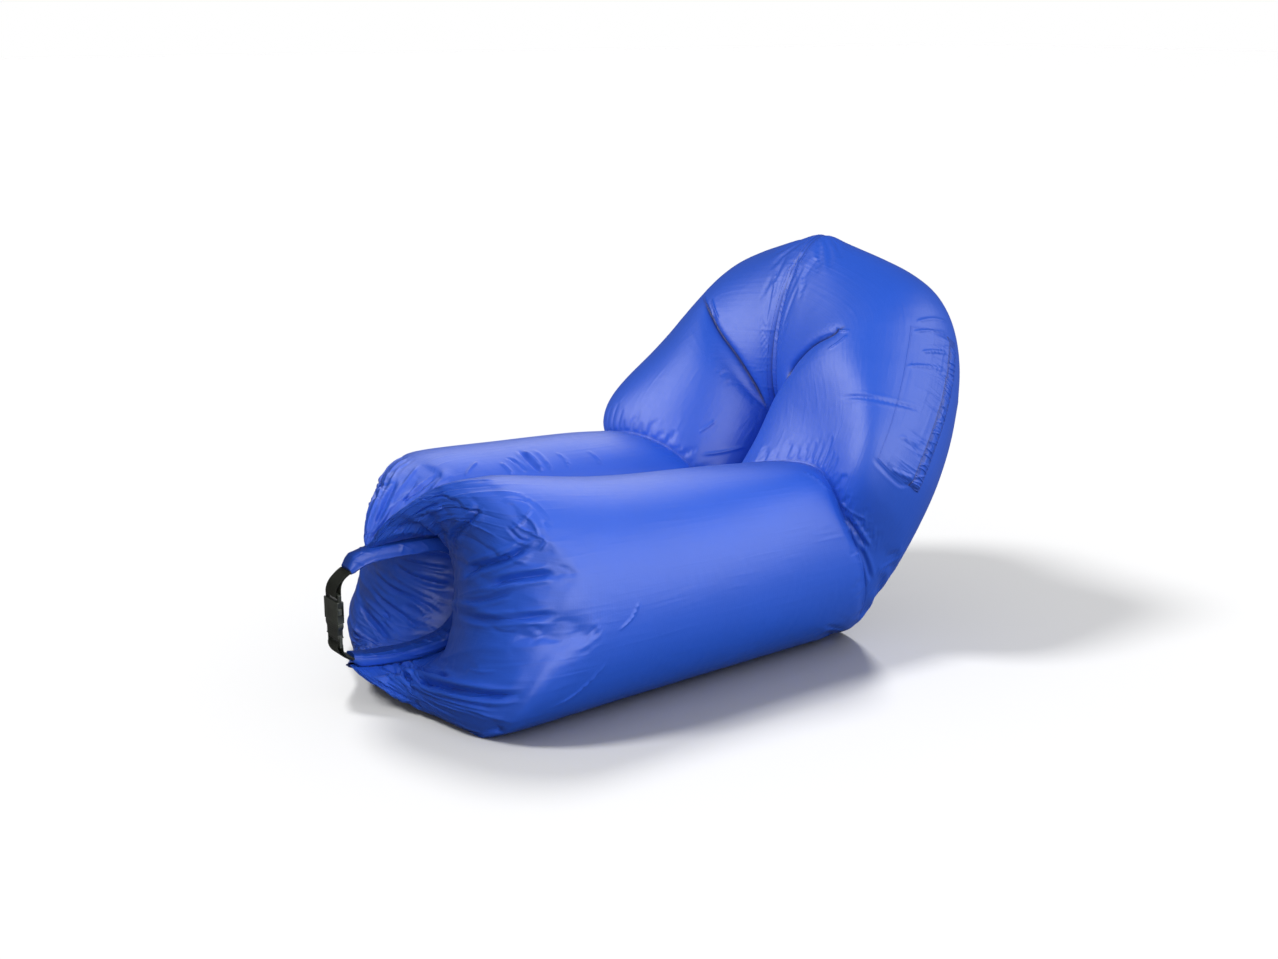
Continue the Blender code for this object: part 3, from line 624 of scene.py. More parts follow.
# %% [markdown]
# ## Where the real bags are fuller, and where seams sink
# The two bags aren't quite alike in the photograph. The near one stands fuller over the
# mouth, and the far one leans out beside the back. Each such bulge is set by a pixel on
# the cloth, a reach and a push in metres. Then every seam is drawn in, most of all at the
# crown and near the hub, so that the cloth rolls into a sharp line.

# %% Bulges
def skin_tree(skins):
    points, faces = [], []
    for skin in skins:
        faces += [tuple(len(points) + corner for corner in face)
                  for face in grid_faces(*skin.shape[:2])]
        points += skin.reshape(-1, 3).tolist()
    return BVHTree.FromPolygons(points, faces)


bulges = [
    ("right", (505, 498), 0.17, (0.0, -0.004, 0.026)),
    ("right", (445, 522), 0.10, (0.0, 0.004, 0.026)),
    ("left", (640, 424), 0.13, (-0.038, -0.056, -0.014)),
    ("left", (645, 350), 0.12, (0.012, 0.018, 0.0)),
    ("right", (790, 424), 0.14, (0.040, 0.058, 0.0)),
    ("right", (772, 444), 0.12, (0.020, 0.029, 0.0)),
    ("left", (366, 505), 0.07, (0.004, 0.010, 0.0)),
]
for side, pixel, reach, push in bulges:
    tree = skin_tree([skins[side][::4, ::4]])
    hit = tree.ray_cast(Vector(camera_place), pixel_direction(*pixel))[0]
    if hit is None:
        print("No cloth at pixel", pixel)
        continue
    away = np.linalg.norm(skins[side] - np.array(list(hit)), axis=2)
    skins[side] = skins[side] + np.exp(-(away / reach) ** 2)[..., None] * np.array(push)

# %% Seams drawn in
drawn_seams = ((mitre_row, 0.0022, 0.007), (crown_row, 0.0075, 0.010))
for side, skin in skins.items():
    along = lengths_along(skin)
    sink = sum(depth * np.exp(-np.abs(along - along[row]) / reach)
               for row, depth, reach in drawn_seams)
    above_floor = np.clip(skin[:, :, 2] / 0.03, 0, 1)
    skins[side] = clear_of_neighbours(skin - skin_normals(skin) * (sink * above_floor)[..., None],
                                      side_signs[side])
print("Seams drawn in by up to", round(float(sink.max() * 1000), 1), "mm")

# %% [markdown]
# ## Puckers along the seams
# A sewn seam is a little shorter than the cloth that it joins, so short ridges stand
# across it and die out within a few centimetres. They are too fine for the simulation's
# mesh, so they are added now. Each pucker is one soft ridge with its own length, height
# and lean, from a generator with a fixed seed.

# %% Puckers across a row or a column of the cloth
def crest(offset):
    """The profile of a fold of thin cloth: 1 along a fairly sharp crest, 0 beside it."""
    return np.exp(0.35 - np.sqrt(0.35 ** 2 + (1.5 * offset) ** 2))


def puckers(skin, across, along, span, spacing, height, reach, seed, sharpness=0.26):
    """Soft ridges that cross a line of the cloth.

    across is the distance from the line, along is the place on the line, both in metres,
    and span is the stretch of the line that has puckers.
    """
    chance = np.random.default_rng(seed)
    relief = np.zeros(skin.shape[:2])
    place = span[0]
    while place < span[1]:
        width = spacing * sharpness * chance.uniform(0.7, 1.4)
        length = reach * chance.uniform(0.45, 1.3)
        lean = chance.uniform(-0.35, 0.35)
        side = chance.choice((-1.0, 1.0, 0.0), p=(0.3, 0.3, 0.4))
        fade = np.abs(across) / length
        ridge = crest((along + lean * across - place) / width)
        ridge *= np.clip(fade * 6, 0, 1) * np.exp(-(fade * 1.6) ** 2)
        if side:
            ridge *= (across * side > 0)
        relief += chance.uniform(0.35, 1.0) * height * ridge
        place += spacing * chance.uniform(0.5, 1.5)
    return relief


def raised(skin, relief):
    return skin + skin_normals(skin) * relief[..., None]


def column_window(start, end, blur=0.05):
    """1 for the points round the bag between two turns, 0 outside them, with soft ends.

    Turns count from the inner side, 0, under the bag, 0.25, and outside, 0.5, to the top.
    """
    turn = np.arange(round_points) / round_points
    centre, half = (start + end) / 2, (end - start) / 2
    return np.clip((half - along_turn(turn, centre)) / blur + 0.5, 0, 1)[None, :]


# %% Puckers at the mitre, the crown and the inner crease
puckered_seams = ((mitre_row, 0.0011, 0.040, column_window(0.30, 1.10)),
                  (crown_row, 0.0006, 0.040, column_window(0.60, 1.20)))
seam_pucker_spacing, crease_pucker_spacing = 0.016, 0.020
crease_pucker_height, crease_pucker_reach = 0.0022, 0.055
for side, skin in skins.items():
    seed = 10 if side == "right" else 30
    along, around = lengths_along(skin), lengths_around(skin)
    relief = np.zeros(skin.shape[:2])
    for row, height, reach, window in puckered_seams:
        from_seam = along - along[row]
        relief += window * puckers(skin, from_seam, around[row][None, :] + 0 * along,
                                   (0, around[row].max()), seam_pucker_spacing, height, reach,
                                   seed + row)
    inner = round_points - round_points // 8
    from_crease = around - around[:, inner:inner + 1]
    seat_only = np.clip((np.arange(len(skin)) - gather_row) / 20, 0, 1)[:, None]
    seat_only = seat_only * np.clip((mitre_row - 6 - np.arange(len(skin))) / 12, 0, 1)[:, None]
    relief += seat_only * puckers(skin, from_crease, along[:, inner:inner + 1] + 0 * along,
                                  (0, along[mitre_row].max()), crease_pucker_spacing,
                                  crease_pucker_height, crease_pucker_reach, seed + 7)
    skins[side] = raised(skin, relief)
    print("Puckers on the", side, "bag: up to", round(float(relief.max() * 1000), 1), "mm")


# %% Gathers that run out from the neck over both cheeks
def gathers(skin, count, height, seed):
    """Folds along the bag, close together at the neck, that die out over the cheek."""
    chance = np.random.default_rng(seed)
    turn = (np.arange(round_points) / round_points)[None, :]
    along = lengths_along(skin)
    share = along / along[gather_row]
    relief = np.zeros(skin.shape[:2])
    for _ in range(count):
        start_turn, bend = chance.uniform(0, 1), chance.normal(0, 0.022)
        start, end = sorted(chance.uniform(0.0, 1.0, 2))
        if end - start < 0.12 or chance.random() < 0.3:
            start, end = 0.0, max(end, 0.25)
        centre = start_turn + bend * share + 0.004 * np.sin(9 * share + 6 * start_turn)
        off = along_turn(turn, centre)
        width = 0.0020 + 0.0065 * share * chance.uniform(0.3, 1.3)
        ends = eased(np.minimum(share - start + 0.03, end - share) / 0.14)
        size = height * chance.uniform(0.25, 1.0) * chance.choice((1.0, -0.8))
        relief += size * crest(off / width) * ends
    floor_share = np.clip(skin[:, :, 2] / 0.02, 0.1, 1.0)
    return relief * np.clip(along / 0.012, 0, 1) * floor_share


gather_count, gather_height = 190, 0.0034
cheek_rows = gather_row + 30
for side, skin in skins.items():
    cheek = skin[:cheek_rows]
    relief = gathers(cheek, gather_count, gather_height, 51 if side == "right" else 52)
    skins[side] = np.concatenate([raised(cheek, relief), skin[cheek_rows:]])
    print("Gathers on the", side, "cheek: up to", round(float(relief.max() * 1000), 1), "mm")

# %% [markdown]
# ## The photograph's own folds
# The large folds are where they are by chance, so they are copied from the photograph as
# lines of pixels. Each line is cast from the camera onto the cloth, and the cloth beside
# it is moved along its own normal: down into a valley with raised lips, or up into a
# ridge. Every fold tapers towards its ends, and each lies on the cloth from any side.

# %% Lay a line of pixels on the cloth
largest_jump = 0.05
fold_box_widths, fold_taper_share, seam_box_reach = 3.5, 0.22, 0.02


def cast_line(tree, pixels, step=2.0):
    """Points of the cloth under a smooth line through some pixels of the photograph."""
    pixels = smooth_rows(pixels, 8)
    count = max(4, int(path_lengths(pixels)[-1] / step))
    line = []
    for x, y in even_points(pixels, count):
        hit = tree.ray_cast(Vector(camera_place), pixel_direction(x, y))[0]
        if hit is not None and (not line or (hit - line[-1]).length < largest_jump):
            line.append(hit)
    return np.array([list(point) for point in line])


def distance_to_line(points, line):
    """Distance of each point from a chain of points, and its place on it from 0 to 1."""
    nearest = np.full(len(points), np.inf)
    place = np.zeros(len(points))
    for index, (start, end) in enumerate(zip(line, line[1:])):
        step = end - start
        t = np.clip((points - start) @ step / max(step @ step, 1e-12), 0, 1)
        away = np.linalg.norm(points - start - t[:, None] * step, axis=1)
        closer = away < nearest
        nearest[closer] = away[closer]
        place[closer] = (index + t[closer]) / (len(line) - 1)
    return nearest, place


def beside_line(points, line, reach):
    """Numbers of the points in the box round a line, with some reach."""
    return np.flatnonzero(((points > line.min(0) - reach)
                           & (points < line.max(0) + reach)).all(1))


def add_fold(skin, normals, line, height, width, lips=0.40):
    """Moves the cloth beside a line: into a valley where height is below 0, else up."""
    points = skin.reshape(-1, 3)
    near = beside_line(points, line, fold_box_widths * width)
    away, place = distance_to_line(points[near], line)
    taper = eased(np.minimum(place, 1 - place) / fold_taper_share)
    away = away / width
    profile = crest(away) * np.exp(-(away / 2.6) ** 2)
    if height < 0:
        profile -= lips * np.exp(-((away - 2.0) / 0.8) ** 2)
    points[near] += normals.reshape(-1, 3)[near] * (height * taper * profile)[:, None]


# %% Folds of the near cheek and the chin
MM = 0.001
# each fold: its height (below 0 for a valley) and width in mm, and its pixels
cheek_folds = [
    # the pinch between the lip and the cheek, and the small fold under the lip
    (-5.5, 5.5, [(482, 505), (473, 517), (457, 532), (447, 544)]),
    (2.2, 3.6, [(484, 502), (476, 516), (462, 530), (452, 541)]),
    (-4.0, 4.0, [(434, 542), (444, 549), (453, 544)]),
    # the two deep folds that run out from the hole, and their bright edges
    (-8.0, 6.0, [(461, 579), (475, 568), (498, 561), (516, 553), (530, 544)]),
    (4.0, 3.2, [(468, 570), (484, 563), (500, 556), (520, 549), (539, 537)]),
    (-7.0, 5.5, [(487, 587), (503, 581), (517, 578), (540, 575), (554, 572)]),
    (3.5, 3.0, [(492, 590), (505, 585), (520, 583)]),
    # wrinkles that fan out below them
    (-3.5, 4.0, [(457, 602), (484, 600), (513, 592)]),
    (2.5, 3.0, [(455, 597), (478, 590), (505, 588), (530, 586)]),
    (-4.5, 5.0, [(454, 612), (478, 619), (507, 619), (548, 615), (560, 612)]),
    (3.0, 3.5, [(448, 622), (478, 629), (520, 627), (552, 622)]),
    (-2.5, 3.5, [(440, 633), (470, 628), (506, 603)]),
    (2.2, 2.6, [(494, 626), (506, 630), (520, 628)]),
    # the long soft fold between the cheek and the chin
    (4.5, 7.0, [(408, 650), (440, 645), (468, 641), (519, 636), (575, 637)]),
    (-3.5, 5.0, [(395, 657), (430, 652), (470, 648), (520, 644)]),
    # the long dark crease of the chin, with a second and a third one above it
    (-8.0, 5.5, [(370, 660), (389, 669), (420, 681), (455, 690), (492, 696), (526, 694)]),
    (4.0, 4.5, [(382, 664), (408, 671), (440, 679), (470, 685), (505, 688)]),
    (-5.0, 4.0, [(378, 658), (400, 664), (425, 671), (452, 678)]),
    (-3.5, 3.2, [(386, 656), (404, 660), (420, 664)]),
    (1.8, 2.6, [(465, 669), (482, 672), (498, 671)]),
    # the thin diagonal wrinkles of the side
    (2.2, 2.6, [(606, 660), (596, 675), (575, 694), (552, 708)]),
    (1.6, 2.4, [(640, 600), (632, 618), (618, 632)]),
]

# %% Folds of the lip, the top and the far cheek
lip_folds = [
    (2.4, 3.2, [(382, 540), (404, 522), (432, 510), (466, 506)]),
    (-2.6, 3.6, [(388, 536), (412, 520), (440, 512)]),
    (2.0, 3.0, [(430, 490), (465, 482), (500, 480)]),
    (1.8, 3.0, [(440, 500), (470, 494), (505, 492), (530, 496)]),
    (-2.2, 3.5, [(500, 497), (524, 500), (540, 512), (549, 533)]),
    # crackle at the cheek's upper corner
    (2.4, 2.4, [(512, 520), (524, 530), (538, 533)]),
    (2.4, 2.4, [(520, 512), (534, 524), (541, 544)]),
    (2.2, 2.2, [(509, 532), (523, 521), (533, 507)]),
    (-2.2, 2.6, [(507, 526), (519, 539), (529, 540)]),
    (2.2, 2.2, [(528, 533), (545, 540), (538, 552)]),
    # the far cheek's outside, and the crease that crosses it
    (-4.0, 4.0, [(398, 478), (391, 492), (383, 509), (375, 527)]),
    (3.0, 3.2, [(420, 464), (404, 484), (389, 503)]),
    (2.4, 3.0, [(425, 481), (403, 499), (384, 513)]),
    (-3.0, 3.4, [(438, 475), (420, 489), (398, 504)]),
    (2.4, 2.8, [(411, 461), (398, 470), (388, 487)]),
]
far_tube_folds = [
    (-5.0, 3.8, [(519, 450), (530, 462), (541, 473)]),
    (4.0, 3.2, [(524, 450), (536, 461), (544, 472)]),
    (3.0, 3.0, [(532, 449), (543, 458), (553, 472)]),
    (-3.0, 3.0, [(507, 457), (518, 464), (527, 473)]),
    (2.4, 2.8, [(478, 461), (470, 469), (465, 478)]),
    (2.4, 2.8, [(500, 462), (507, 468), (514, 475)]),
    (2.0, 2.6, [(556, 452), (566, 460), (570, 470)]),
    (2.0, 2.6, [(587, 450), (597, 458), (602, 467)]),
]

# %% Folds inside the ring, on the far cheek
hollow_folds = [
    (-5.5, 4.5, [(392, 563), (409, 575), (436, 584), (461, 586)]),
    (4.0, 4.0, [(388, 571), (406, 583), (432, 597), (452, 606)]),
    (-5.0, 4.0, [(372, 569), (388, 586), (420, 602), (444, 617)]),
    (4.5, 4.0, [(398, 592), (416, 603), (432, 625)]),
    (-5.0, 4.0, [(368, 586), (382, 600), (407, 619), (424, 634)]),
    (4.0, 3.8, [(362, 596), (384, 618), (402, 640)]),
    (-4.5, 4.0, [(360, 605), (375, 622), (392, 643)]),
    (3.5, 3.4, [(360, 615), (372, 630), (382, 646)]),
    (-3.5, 3.2, [(383, 611), (388, 617), (384, 629)]),
    (-4.0, 3.6, [(400, 560), (425, 566), (450, 570)]),
    (3.0, 3.2, [(410, 572), (428, 574), (447, 579)]),
    (3.0, 3.0, [(404, 611), (420, 619), (438, 634)]),
]

# %% Folds of the hood and the back
back_folds = [
    # wrinkles where the hood's two side seams end
    (2.6, 2.4, [(704, 290), (706, 301), (712, 316)]),
    (2.4, 2.4, [(712, 298), (714, 308), (719, 320)]),
    (1.8, 2.4, [(848, 334), (838, 343), (827, 350)]),
    (2.2, 2.4, [(835, 327), (842, 331), (850, 330)]),
    # puckers beside the centre seam
    (1.3, 3.6, [(804, 246), (799, 262), (797, 282)]),
    (1.4, 3.6, [(791, 262), (789, 278), (786, 296)]),
    (1.1, 3.4, [(776, 270), (775, 285), (772, 300)]),
    # creases of the back: one across, and those the pocket pulls
    (-1.8, 3.6, [(838, 398), (862, 397), (898, 404), (925, 413)]),
    (2.2, 3.4, [(915, 322), (932, 319), (948, 322)]),
    (2.0, 3.2, [(912, 332), (930, 331), (948, 334)]),
    (2.0, 3.2, [(920, 352), (934, 352), (946, 354)]),
    (2.0, 3.4, [(905, 366), (926, 367), (944, 371)]),
    (2.0, 3.4, [(898, 436), (908, 440), (918, 446)]),
    (-1.6, 3.2, [(872, 457), (888, 474), (901, 485), (912, 484)]),
    (2.4, 3.4, [(890, 468), (900, 474), (914, 478)]),
    # creases where the back meets the seat
    (-4.0, 4.0, [(845, 517), (856, 532), (866, 548)]),
    (3.5, 3.4, [(850, 512), (862, 530), (872, 548)]),
    (-3.5, 3.8, [(858, 545), (866, 562), (872, 582)]),
    (2.6, 3.2, [(838, 500), (852, 512), (868, 520)]),
    (2.2, 3.0, [(700, 455), (722, 452), (748, 446)]),
    (2.0, 3.0, [(800, 470), (818, 480), (832, 494)]),
    (1.8, 3.0, [(716, 420), (706, 428), (698, 433)]),
]

# %% The two side seams of the hood, which pull the cloth in
hood_seams = [
    (-7.5, 4.2, [(703, 296), (716, 326), (736, 356), (755, 387), (773, 418)]),
    (-7.0, 13.0, [(700, 290), (716, 326), (736, 356), (755, 387), (773, 418)]),
    (-7.5, 4.2, [(840, 329), (818, 339), (803, 351), (791, 366), (785, 382)]),
    (-7.0, 12.0, [(846, 326), (818, 339), (803, 351), (791, 366), (785, 382)]),
]

# %% Put every fold into the cloth
tree = skin_tree(skins.values())
normals = {side: skin_normals(skin) for side, skin in skins.items()}
straight_skins = {side: skin.copy() for side, skin in skins.items()}
fold_strength = 1.25
laid = 0
for height, width, pixels in cheek_folds + lip_folds + far_tube_folds + hollow_folds + back_folds:
    line = cast_line(tree, pixels)
    if len(line) < 4:
        continue
    laid += 1
    for side, skin in skins.items():
        add_fold(skin, normals[side], line, height * fold_strength * MM, width * MM)
seam_lines = []
for height, width, pixels in hood_seams:
    line = cast_line(tree, pixels)
    seam_lines.append(line)
    for side, skin in skins.items():
        add_fold(skin, normals[side], line, height * MM, width * MM, lips=0.0)
skins = {side: clear_of_neighbours(skin, side_signs[side]) for side, skin in skins.items()}
print("Folds laid from the photograph:", laid)


# %% [markdown]
# ## Panels
# Each bag is cut into the panels that it is sewn from: the gathered cheek, the seat, the
# back and the hood. Every panel gets its UV map in metres, along and across the cloth,
# and the attribute that says how slack the cloth is. Panels share their normals where
# they meet, except at the mitre, which is a sharp seam.

# %% Helpers that make the pieces
def add_mesh(name, points, faces, material):
    mesh = bpy.data.meshes.new(name)
    mesh.from_pydata(np.asarray(points).tolist(), [], faces)
    mesh.materials.append(material)
    mesh.shade_smooth()
    return in_scene(name, mesh)


def closed_faces(rows, columns):
    """Quads of a tube of rows and a face over each end, all facing outwards."""
    last = (rows - 1) * columns
    return grid_faces(rows, columns) + [tuple(range(columns)),
                                        tuple(last + c for c in reversed(range(columns)))]


def fill_uv(piece, across_rows, across_columns):
    """UVs for quads laid row by row: one value per row, one per column edge."""
    row, column = np.meshgrid(np.arange(len(across_rows) - 1),
                              np.arange(len(across_columns) - 1), indexing="ij")
    corners = np.stack([across_rows[row[..., None] + np.array([0, 1, 1, 0])],
                        across_columns[column[..., None] + np.array([0, 0, 1, 1])]], axis=-1)
    layer = piece.data.uv_layers.new(name="cloth_metres")
    values = np.zeros((len(layer.data), 2))
    values[:corners.size // 2] = corners.reshape(-1, 2)
    layer.data.foreach_set("uv", values.ravel())


def fill_attribute(piece, name, values):
    attribute = piece.data.attributes.new(name, "FLOAT", "POINT")
    attribute.data.foreach_set("value", np.asarray(values, dtype=np.float32).ravel())


neck_slack, hub_slack, crown_slack, least_slack = 1.35, 0.8, 0.3, 0.15
hub_slack_reach, crown_slack_reach = 0.10, 0.05
crown_shade, crown_shade_reach, seam_shade_reach = 0.8, 0.004, 0.0028


def slackness(skin):
    """How crumpled the cloth is: most at the neck, and beside the hub and the crown."""
    along = lengths_along(skin)
    gather = along[gather_row]
    at_neck = np.clip(neck_slack - along / gather, 0, 1)
    at_hub = hub_slack * np.exp(-(np.linalg.norm(skin - hub, axis=2) / hub_slack_reach) ** 2)
    at_crown = crown_slack * np.exp(-((along[crown_row] - along) / crown_slack_reach) ** 2)
    return np.clip(np.maximum.reduce([at_neck, at_hub, at_crown]), least_slack, 1)


def seam_shade(skin, straight):
    """Where painted shade darkens the cloth in its sunken seams: along the crown and the hood's
    seams.
    """
    along = lengths_along(skin)
    shade = crown_shade * np.exp(-((along - along[crown_row]) / crown_shade_reach) ** 2)
    points, shade = straight.reshape(-1, 3), shade.ravel()
    for line in seam_lines:
        near = beside_line(points, line, seam_box_reach)
        away, place = distance_to_line(points[near], line)
        ends = np.clip(np.minimum(place, 1 - place) / 0.10, 0, 1)
        shade[near] = np.maximum(shade[near], ends * np.exp(-(away / seam_shade_reach) ** 2))
    return shade.reshape(skin.shape[:2])


# %% The panels of both bags
bag_panels = (("cheek_cloth_", "front_gather_", 0, gather_row),
              ("seat_cloth_", "base_panel_", gather_row, mitre_row),
              ("back_cloth_", "back_panel_", mitre_row, hood_row),
              ("hood_cloth_", "hood_panel_", hood_row, crown_row))
girth_metres = np.arange(round_points + 1) * 2 * math.pi * tube_radius / round_points
for side, skin in skins.items():
    slack = slackness(skin)
    shade = seam_shade(skin, straight_skins[side])
    along = lengths_along(skin).mean(axis=1)
    shared_normals = np.concatenate([skin_normals(skin[:mitre_row + 1]),
                                     skin_normals(skin[mitre_row:])])
    for cloth_name, node, first, last in bag_panels:
        cloth = skin[first:last + 1]
        piece = add_mesh(cloth_name + side, cloth.reshape(-1, 3),
                         grid_faces(*cloth.shape[:2]), ripstop)
        fill_uv(piece, along[first:last + 1], girth_metres)
        fill_attribute(piece, "slack", slack[first:last + 1])
        fill_attribute(piece, "seam_shade", shade[first:last + 1])
        behind_mitre = 1 if first >= mitre_row else 0
        cloth_normals = shared_normals[first + behind_mitre:last + 1 + behind_mitre]
        piece.data.normals_split_custom_set_from_vertices(cloth_normals.reshape(-1, 3).tolist())
        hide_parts(node + side)
        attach(piece, "lounger")
print("Panels:", len(bag_panels) * len(skins))

# %% The tape that joins both bags along the crown
near_loop = skins["right"][crown_row - 1]
far_loop = skins["left"][crown_row - 1]
first = int(np.argmin(np.linalg.norm(far_loop - near_loop[0], axis=1)))
orders = [np.roll(far_loop, -first, axis=0), np.roll(far_loop[::-1], first + 1, axis=0)]
far_loop = min(orders, key=lambda loop: np.linalg.norm(loop - near_loop))
loops = np.stack([near_loop, 0.5 * near_loop + 0.5 * far_loop, far_loop])
tape = add_mesh("crown_seam_tape", loops.reshape(-1, 3), grid_faces(*loops.shape[:2]), ripstop)
fill_uv(tape, np.array([0.0, 0.001, 0.002]), girth_metres)
fill_attribute(tape, "slack", np.full(3 * round_points, 0.5))
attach(tape, "lounger")
print("Crown tape: up to", round(float(np.linalg.norm(near_loop - far_loop, axis=1).max()
                                       * 1000), 1), "mm wide")

# %% [markdown]
# ## The airtight film inside
# The ripstop holds the shape, and a bag of thin polythene inside it holds the air. Nobody
# sees it, so it is a coarser copy of the cloth, drawn in a little.

# %% Film bags
film, tree, shader = new_material("frosted_polythene_film", Base_Color=linear("#dfe5ee"),
                                  Roughness=0.35, IOR=1.51, Transmission_Weight=0.25)
haze = noise(tree, object_space(tree), 60.0, 3.0)
feed(tree, shader, Roughness=ranged(tree, haze, 0.28, 0.48))

film_share, film_floor_gap, film_step = 0.90, 0.004, 6
for side, skin in skins.items():
    inner = skin[gather_row:crown_row - 3:film_step, ::film_step]
    middle = inner.mean(axis=1, keepdims=True)
    inner = middle + (inner - middle) * film_share
    inner[:, :, 2] = np.maximum(inner[:, :, 2], film_floor_gap)
    piece = add_mesh("film_bag_" + side, inner.reshape(-1, 3), closed_faces(*inner.shape[:2]),
                     film)
    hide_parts("air_liner_" + side)
    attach(piece, "lounger")

# %% [markdown]
# ## The rolled mouth
# The mouth of the bag is rolled up on its stiffener and bent round into a ring. The roll
# is swept along the ring's path. Its outer side meets the neck of both cheeks. The lap of
# the last turn runs along it, long folds wander beside it, and the inner side of the bend
# is squeezed into short cross wrinkles.

# %% The roll
def sweep(path, normals, profile):
    """Rows of points: a profile of width and height pairs for each point of a path."""
    rows = np.repeat(path[:, None, :], profile.shape[1], axis=1)
    rows[:, :, 0] += profile[:, :, 0]
    return rows + normals[:, None, :] * profile[:, :, 1:2]


roll_steps, roll_round = 16, 84
long_folds, cross_wrinkles = 44, 70
roll_girth, end_ring_step = 0.11, 0.0011
wide_power, high_power = 0.62, 0.75
full_share, outer_excess = 0.03, 0.003
taper_depth, taper_share = 0.22, 0.035
long_ridge, long_valley, cross_ridge, lap_height = 0.0024, -0.0030, 0.0014, 0.0011
# the scale of each ring of the roll's end, and its depth in steps
end_rings = ((0.93, 0.0), (0.86, -1.0), (0.76, -0.2), (0.70, -1.2), (0.60, -0.3),
             (0.54, -1.3), (0.44, -0.4), (0.36, -1.4), (0.2, -0.6), (0.02, -1.0))
roll_path = smooth_rows(ring_path(), roll_steps)
roll_normals = outward(roll_path)
roll_lengths = path_lengths(roll_path)
share = (roll_lengths / roll_lengths[-1])[:, None]
turn = np.linspace(0, 2 * math.pi, roll_round, endpoint=False)[None, :]
wide = np.sign(np.cos(turn)) * np.abs(np.cos(turn)) ** wide_power
high = np.sign(np.sin(turn)) * np.abs(np.sin(turn)) ** high_power
full = np.clip(np.minimum(share, 1 - share) / full_share, 0, 1)
outer_half = roll_half_thickness + (neck_gap + outer_excess) * full
swell = 1 + 0.05 * np.sin(11 * share + 1) + 0.04 * np.sin(23 * share + 2)
taper = 1 - taper_depth * np.exp(-np.minimum(share, 1 - share) / taper_share)
across = roll_half_width * 0.98 * wide * taper * (1 - 0.06 * np.abs(np.sin(14 * share)))
rise = np.where(high > 0, outer_half * swell, roll_half_thickness) * high
chance = np.random.default_rng(71)
relief = np.zeros((len(roll_path), roll_round))
for _ in range(long_folds):
    middle, half = chance.uniform(0, 1), chance.uniform(0.05, 0.22)
    line = (chance.uniform(0, 2 * math.pi) + chance.normal(0, 0.7) * (share - middle)
            + 0.15 * np.sin(chance.uniform(12, 30) * share))
    off = along_turn(turn, line, 2 * math.pi)
    window = np.clip((half - np.abs(share - middle)) / 0.05, 0, 1)
    relief += (chance.uniform(0.5, 1.0) * chance.choice((long_ridge, long_valley))
               * crest(off / chance.uniform(0.09, 0.20)) * window)
for _ in range(cross_wrinkles):
    place, width = chance.uniform(0, 1), chance.uniform(0.003, 0.008)
    side_turn = chance.choice((1.5 * math.pi, chance.uniform(0, 2 * math.pi)))
    off = along_turn(turn, side_turn, 2 * math.pi)
    lean = chance.normal(0, 0.02)
    relief += (cross_ridge * crest((share - place - lean * (turn - side_turn)) / width)
               * np.exp(-(off / 0.9) ** 2))
lap = np.clip(((turn - 0.9 - 0.2 * np.sin(7 * share)) % (2 * math.pi)) / 0.10, 0, 1)
relief += lap_height * (lap - 1)
length = np.hypot(across, rise) + 1e-6
profile = np.stack([across * (1 + relief / length), rise * (1 + relief / length)], axis=-1)
rows = sweep(roll_path, roll_normals, profile)

ends = []
for end in (0, -1):
    heading = unit(roll_path[end] - roll_path[end - 1 if end else 1])
    centre = roll_path[end]
    ends.append([centre + (rows[end] - centre) * scale + heading * depth * end_ring_step
                 for scale, depth in end_rings])
rows = np.concatenate([np.array(ends[0][::-1]), rows, np.array(ends[1])])
faces = [face[::-1] for face in grid_faces(*rows.shape[:2])]
roll = add_mesh("rolled_mouth", rows.reshape(-1, 3), faces, ripstop)
girth = np.arange(roll_round + 1) / roll_round * roll_girth
cap_rows = len(end_rings)
roll_along = np.concatenate([np.linspace(-0.02, -0.002, cap_rows), roll_lengths,
                             roll_lengths[-1] + np.linspace(0.002, 0.02, cap_rows)])
fill_uv(roll, roll_along, girth)
fill_attribute(roll, "slack", np.full(rows.shape[0] * rows.shape[1], 1.0))
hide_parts("roll_top")
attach(roll, "lounger")
print("Roll:", round(float(roll_lengths[-1] * 1000)), "mm along its middle")

# %% [markdown]
# ## Plastic: the strip in the roll and the buckle
# These keep the shapes of the imported model. Moulded nylon has a fine spark-eroded grain,
# a slight sheen, and a painted highlight on its edges. The grips are small ribs across both
# halves.

# %% Moulded plastic
def make_moulded(name, colour, edge_highlight, roughness):
    material, tree, shader = new_material(name, Base_Color=linear(colour),
                                          Roughness=roughness, IOR=1.52,
                                          Specular_IOR_Level=0.6)
    space = object_space(tree)
    grain, cloud = noise(tree, space, 2600.0, 2.0), noise(tree, space, 90.0, 3.0)
    # Painted highlight: sharp edges, in cloudy patches, get the paler second colour.
    edge = add_node(tree, "ShaderNodeNewGeometry").outputs["Pointiness"]
    sharp_edges = add_node(tree, "ShaderNodeMapRange",
                    {"Value": edge, "From Min": 0.52, "From Max": 0.60}).outputs["Result"]
    highlight_here = calculated(tree, "MULTIPLY", sharp_edges, cloud)
    feed(tree, shader,
         Base_Color=mixed_colours(tree, highlight_here, linear(colour), linear(edge_highlight)),
         Roughness=ranged(tree, cloud, roughness - 0.08, roughness + 0.08),
         Normal=bumped(tree, grain, 0.25, 0.00008))
    return material


